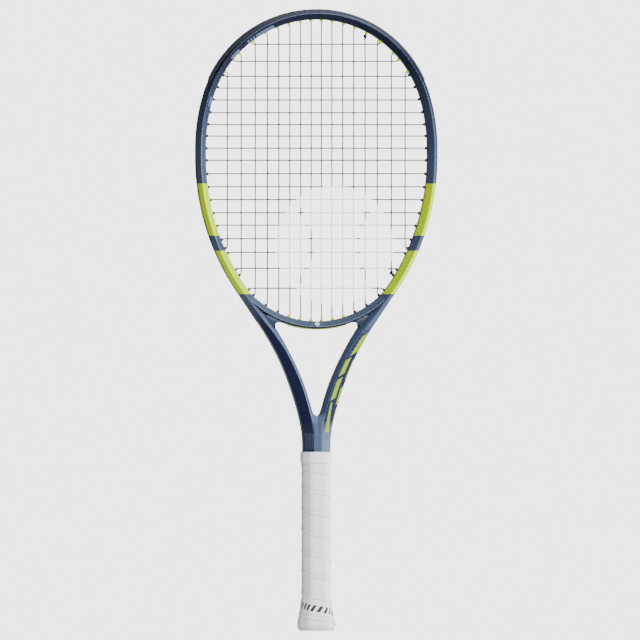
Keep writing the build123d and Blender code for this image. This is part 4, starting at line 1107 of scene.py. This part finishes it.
def grip_mesh():
    """The tape's closed section carried up a screw line round the handle.

    The section's outer side is highest just inside the lower edge, where it rides on the last turn, and
    thin at its upper edge, under the next. Creases are slow waves along the tape that fade at its edges.
    """
    q = np.linspace(-SIDES * TURNS_BELOW, SIDES * TURNS_ABOVE, 1150)
    across = np.array([0, 0.12, 0.5, 1.1, 2.0, 3.2, 5.0, 8.0, 11.5, 15.0, 18.5, 21.5, 23.0, 24.5, LAY + LAP])
    high = np.array([-1.0, -0.4, -0.1, 0.0, -0.04, -0.2, -0.42, -0.5, -0.5, -0.5, -0.52, -0.6, -0.78, -1.0,
                     -1.25])
    under = np.linspace(LAY + LAP, 0, 5)
    w = np.concatenate([across, under])
    h = np.concatenate([high, np.interp(under, [0, 3, 5, LAY + LAP], [-1.05, -1.3, -1.58, -1.6])])
    top = np.concatenate([np.ones(len(across)), np.zeros(5)])
    start = FRONT_LAP - LAY * 7.5 / SIDES
    height = start + LAY * q[:, None] / SIDES + w[None]
    middle = np.sin(np.pi * np.clip(w / (LAY + LAP), 0, 1)) * top
    around = q[:, None]
    crease = 0.12 * np.sin(around * 2.1 + w * 0.42 + 1.3 * np.sin(around * 0.61)) * middle
    crease += 0.10 * np.sin(around * 4.7 - w * 0.75 + 2 * np.sin(around * 1.7)) * middle
    crease += 0.13 * np.sin(w * 1.9 + 0.9 * np.sin(around * 1.3)) * np.exp(-((w - 4.5) / 3.2) ** 2) * top
    level = np.minimum(h + crease, 0)
    level = np.where(height > GRIP_HEAD, -0.9, level)
    held = np.clip(height, GRIP_FOOT, GRIP_HEAD)
    width, depth = (np.interp(held, GRIP_FORM[:, 0], GRIP_FORM[:, k]) + 2 * level for k in (1, 2))
    flat = eight_sided(np.broadcast_to(-q[:, None] % SIDES, held.shape), width, depth)
    rings = np.concatenate([flat, held[..., None]], -1)
    uv = np.stack(np.broadcast_arrays(q[:, None] * 14.4, w[None]), -1)
    return skin("grip_wrap", [rings], [uv], around=0.0, sharp=50)


def grip_finish():
    """White soft polyurethane: a faint grey pebble, painted shade at each lap and in a band beside it, and a
    plain row of slanted black dashes on the first turn."""
    tape = Finish("grip_tape", {"Specular IOR Level": 0.35, "Sheen Weight": 0.15})
    along_tape, across = tape.surface_place()
    x, y, z = tape.place()
    pebble = tape.node("TexVoronoi", {"feature": "SMOOTH_F1"}, {
        "Vector": tape.node("TexCoord", {}, {}, 3), "Scale": 1150.0})
    soft, cloud = tape.grain(700, 3.0), tape.grain(38, 2.0)
    # a9acb3 at each lap's edge and bfc1c6 in the band beside it are painted shade of the seam
    hull = tape.coats(tint("ededef"), ("dfe0e3", cloud.rise(0.38, 0.7) * 0.7),
                      ("c9cbd0", pebble.rise(0.25, 0.75) * 0.12 + soft.rise(0.5, 0.75) * 0.14),
                      ("a9acb3", across.rise(0.8, 0.1) * 0.6),
                      ("bfc1c6", across.rise(2.4, 4.4) * across.rise(8.0, 5.0) * 0.35))
    lean = along_tape + across * 0.5
    dashes = ((lean / 5.6) % 1.0 < 0.5) * across.between(9.5, 16.8) * along_tape.between(80, 140) * (y < 0)
    hull = tape.over(hull, tint("16171a"), dashes)
    return tape.lay(hull, soft * 0.12 - dashes * 0.15 + 0.62, pebble * 0.55 + soft * 0.45, 0.06)


dress(grip_mesh(), grip_finish(), "racket", "grip_wrap", "grip_tape")


# ---- the collar ----
# A stretchy white rubber ring rolled down over the grip's top end. It is moulded with soft edges and
# can roll up the stem when the grip is changed.

lowest, highest = (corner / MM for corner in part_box("grip_collar"))
collar_width, collar_depth = highest.x - lowest.x, highest.y - lowest.y
rise = highest.z - lowest.z
collar_form = [(0.0, 1.5), (0.03, 0.75), (0.09, 0.3), (0.25, 0.05), (0.5, 0.0), (0.74, 0.1), (0.86, 0.6),
               (0.94, 1.2), (0.985, 2.0), (1.0, 2.8)]
bore_width, bore_depth = 30.8, 27.3
collar_levels = [(lowest.z + rise * part, collar_width - less, collar_depth - less)
                 for part, less in collar_form]
collar_levels += [(highest.z, bore_width + 0.5, bore_depth + 0.5), (highest.z - 0.4, bore_width, bore_depth),
                  (lowest.z + 0.4, bore_width, bore_depth), (lowest.z, bore_width + 0.6, bore_depth + 0.6)]
collar = skin("collar", [handle_rings(collar_levels)], close_rows=True)
collar_rubber = moulded_white("collar_rubber", lowest.z, lowest.z + 3, 0.5)
dress(collar, collar_rubber, "collar", "collar_rubber", "grip_collar")


# ---- the handle's inside and its fastenings ----
# Two foam shells moulded round the tubes, a strip of adhesive band over the tape's end, wire staples
# that pin the cap and the tape's start, and the plug that snaps into the butt.

def foam():
    """Dense tan polyurethane foam with fine closed cells."""
    stuff = Finish("pallet_foam", {"Specular IOR Level": 0.3})
    cells = stuff.node("TexVoronoi", {}, {"Vector": stuff.node("TexCoord", {}, {}, 3), "Scale": 900.0})
    tone = stuff.grain(60, 3.0)
    hull = stuff.over(tint("b9a67e"), tint("8f7d58"), cells.rise(0.1, 0.8) * 0.5 + tone.rise(0.4, 0.7) * 0.3)
    return stuff.lay(hull, tone * 0.1 + 0.82, cells, 0.12)


def band():
    """Matt white adhesive band with a fine cloth thread."""
    stuff = Finish("tape_band", {"Specular IOR Level": 0.35})
    x, y, z = stuff.place()
    thread = (z * 7.5).wave() * 0.25 + ((x + y) * 7.5).wave() * 0.25 + 0.5
    grime = stuff.grain(90, 2.0)
    hull = stuff.over(tint("e2e3e6"), tint("b9bcc3"), thread * 0.35 + grime.rise(0.45, 0.7) * 0.3)
    return stuff.lay(hull, grime * 0.15 + 0.6, thread, 0.04)


def wire():
    """Zinc-plated steel wire, drawn bright, with dull spots."""
    stuff = Finish("staple_wire", {"Metallic": 1.0})
    spots, drawn = stuff.grain(700, 3.0), stuff.grain(1800, 2.0)
    hull = stuff.over(tint("b9bcc2"), tint("7c8088"), spots.rise(0.5, 0.7) * 0.6)
    return stuff.lay(hull, spots * 0.25 + 0.28, drawn, 0.015)


def give(node, finish):
    """Puts a finish on a CAD node's own object."""
    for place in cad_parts[node].material_slots:
        place.material = finish.material


core = foam()
give("pallet_front", core)
give("pallet_back", core)
give("finishing_tape", band())
steel = wire()
give("butt_cap_staples", steel)
give("grip_start_staple", steel)
give("butt_plug", moulded_white("plug_plastic", 0, 2.5, 0.4))
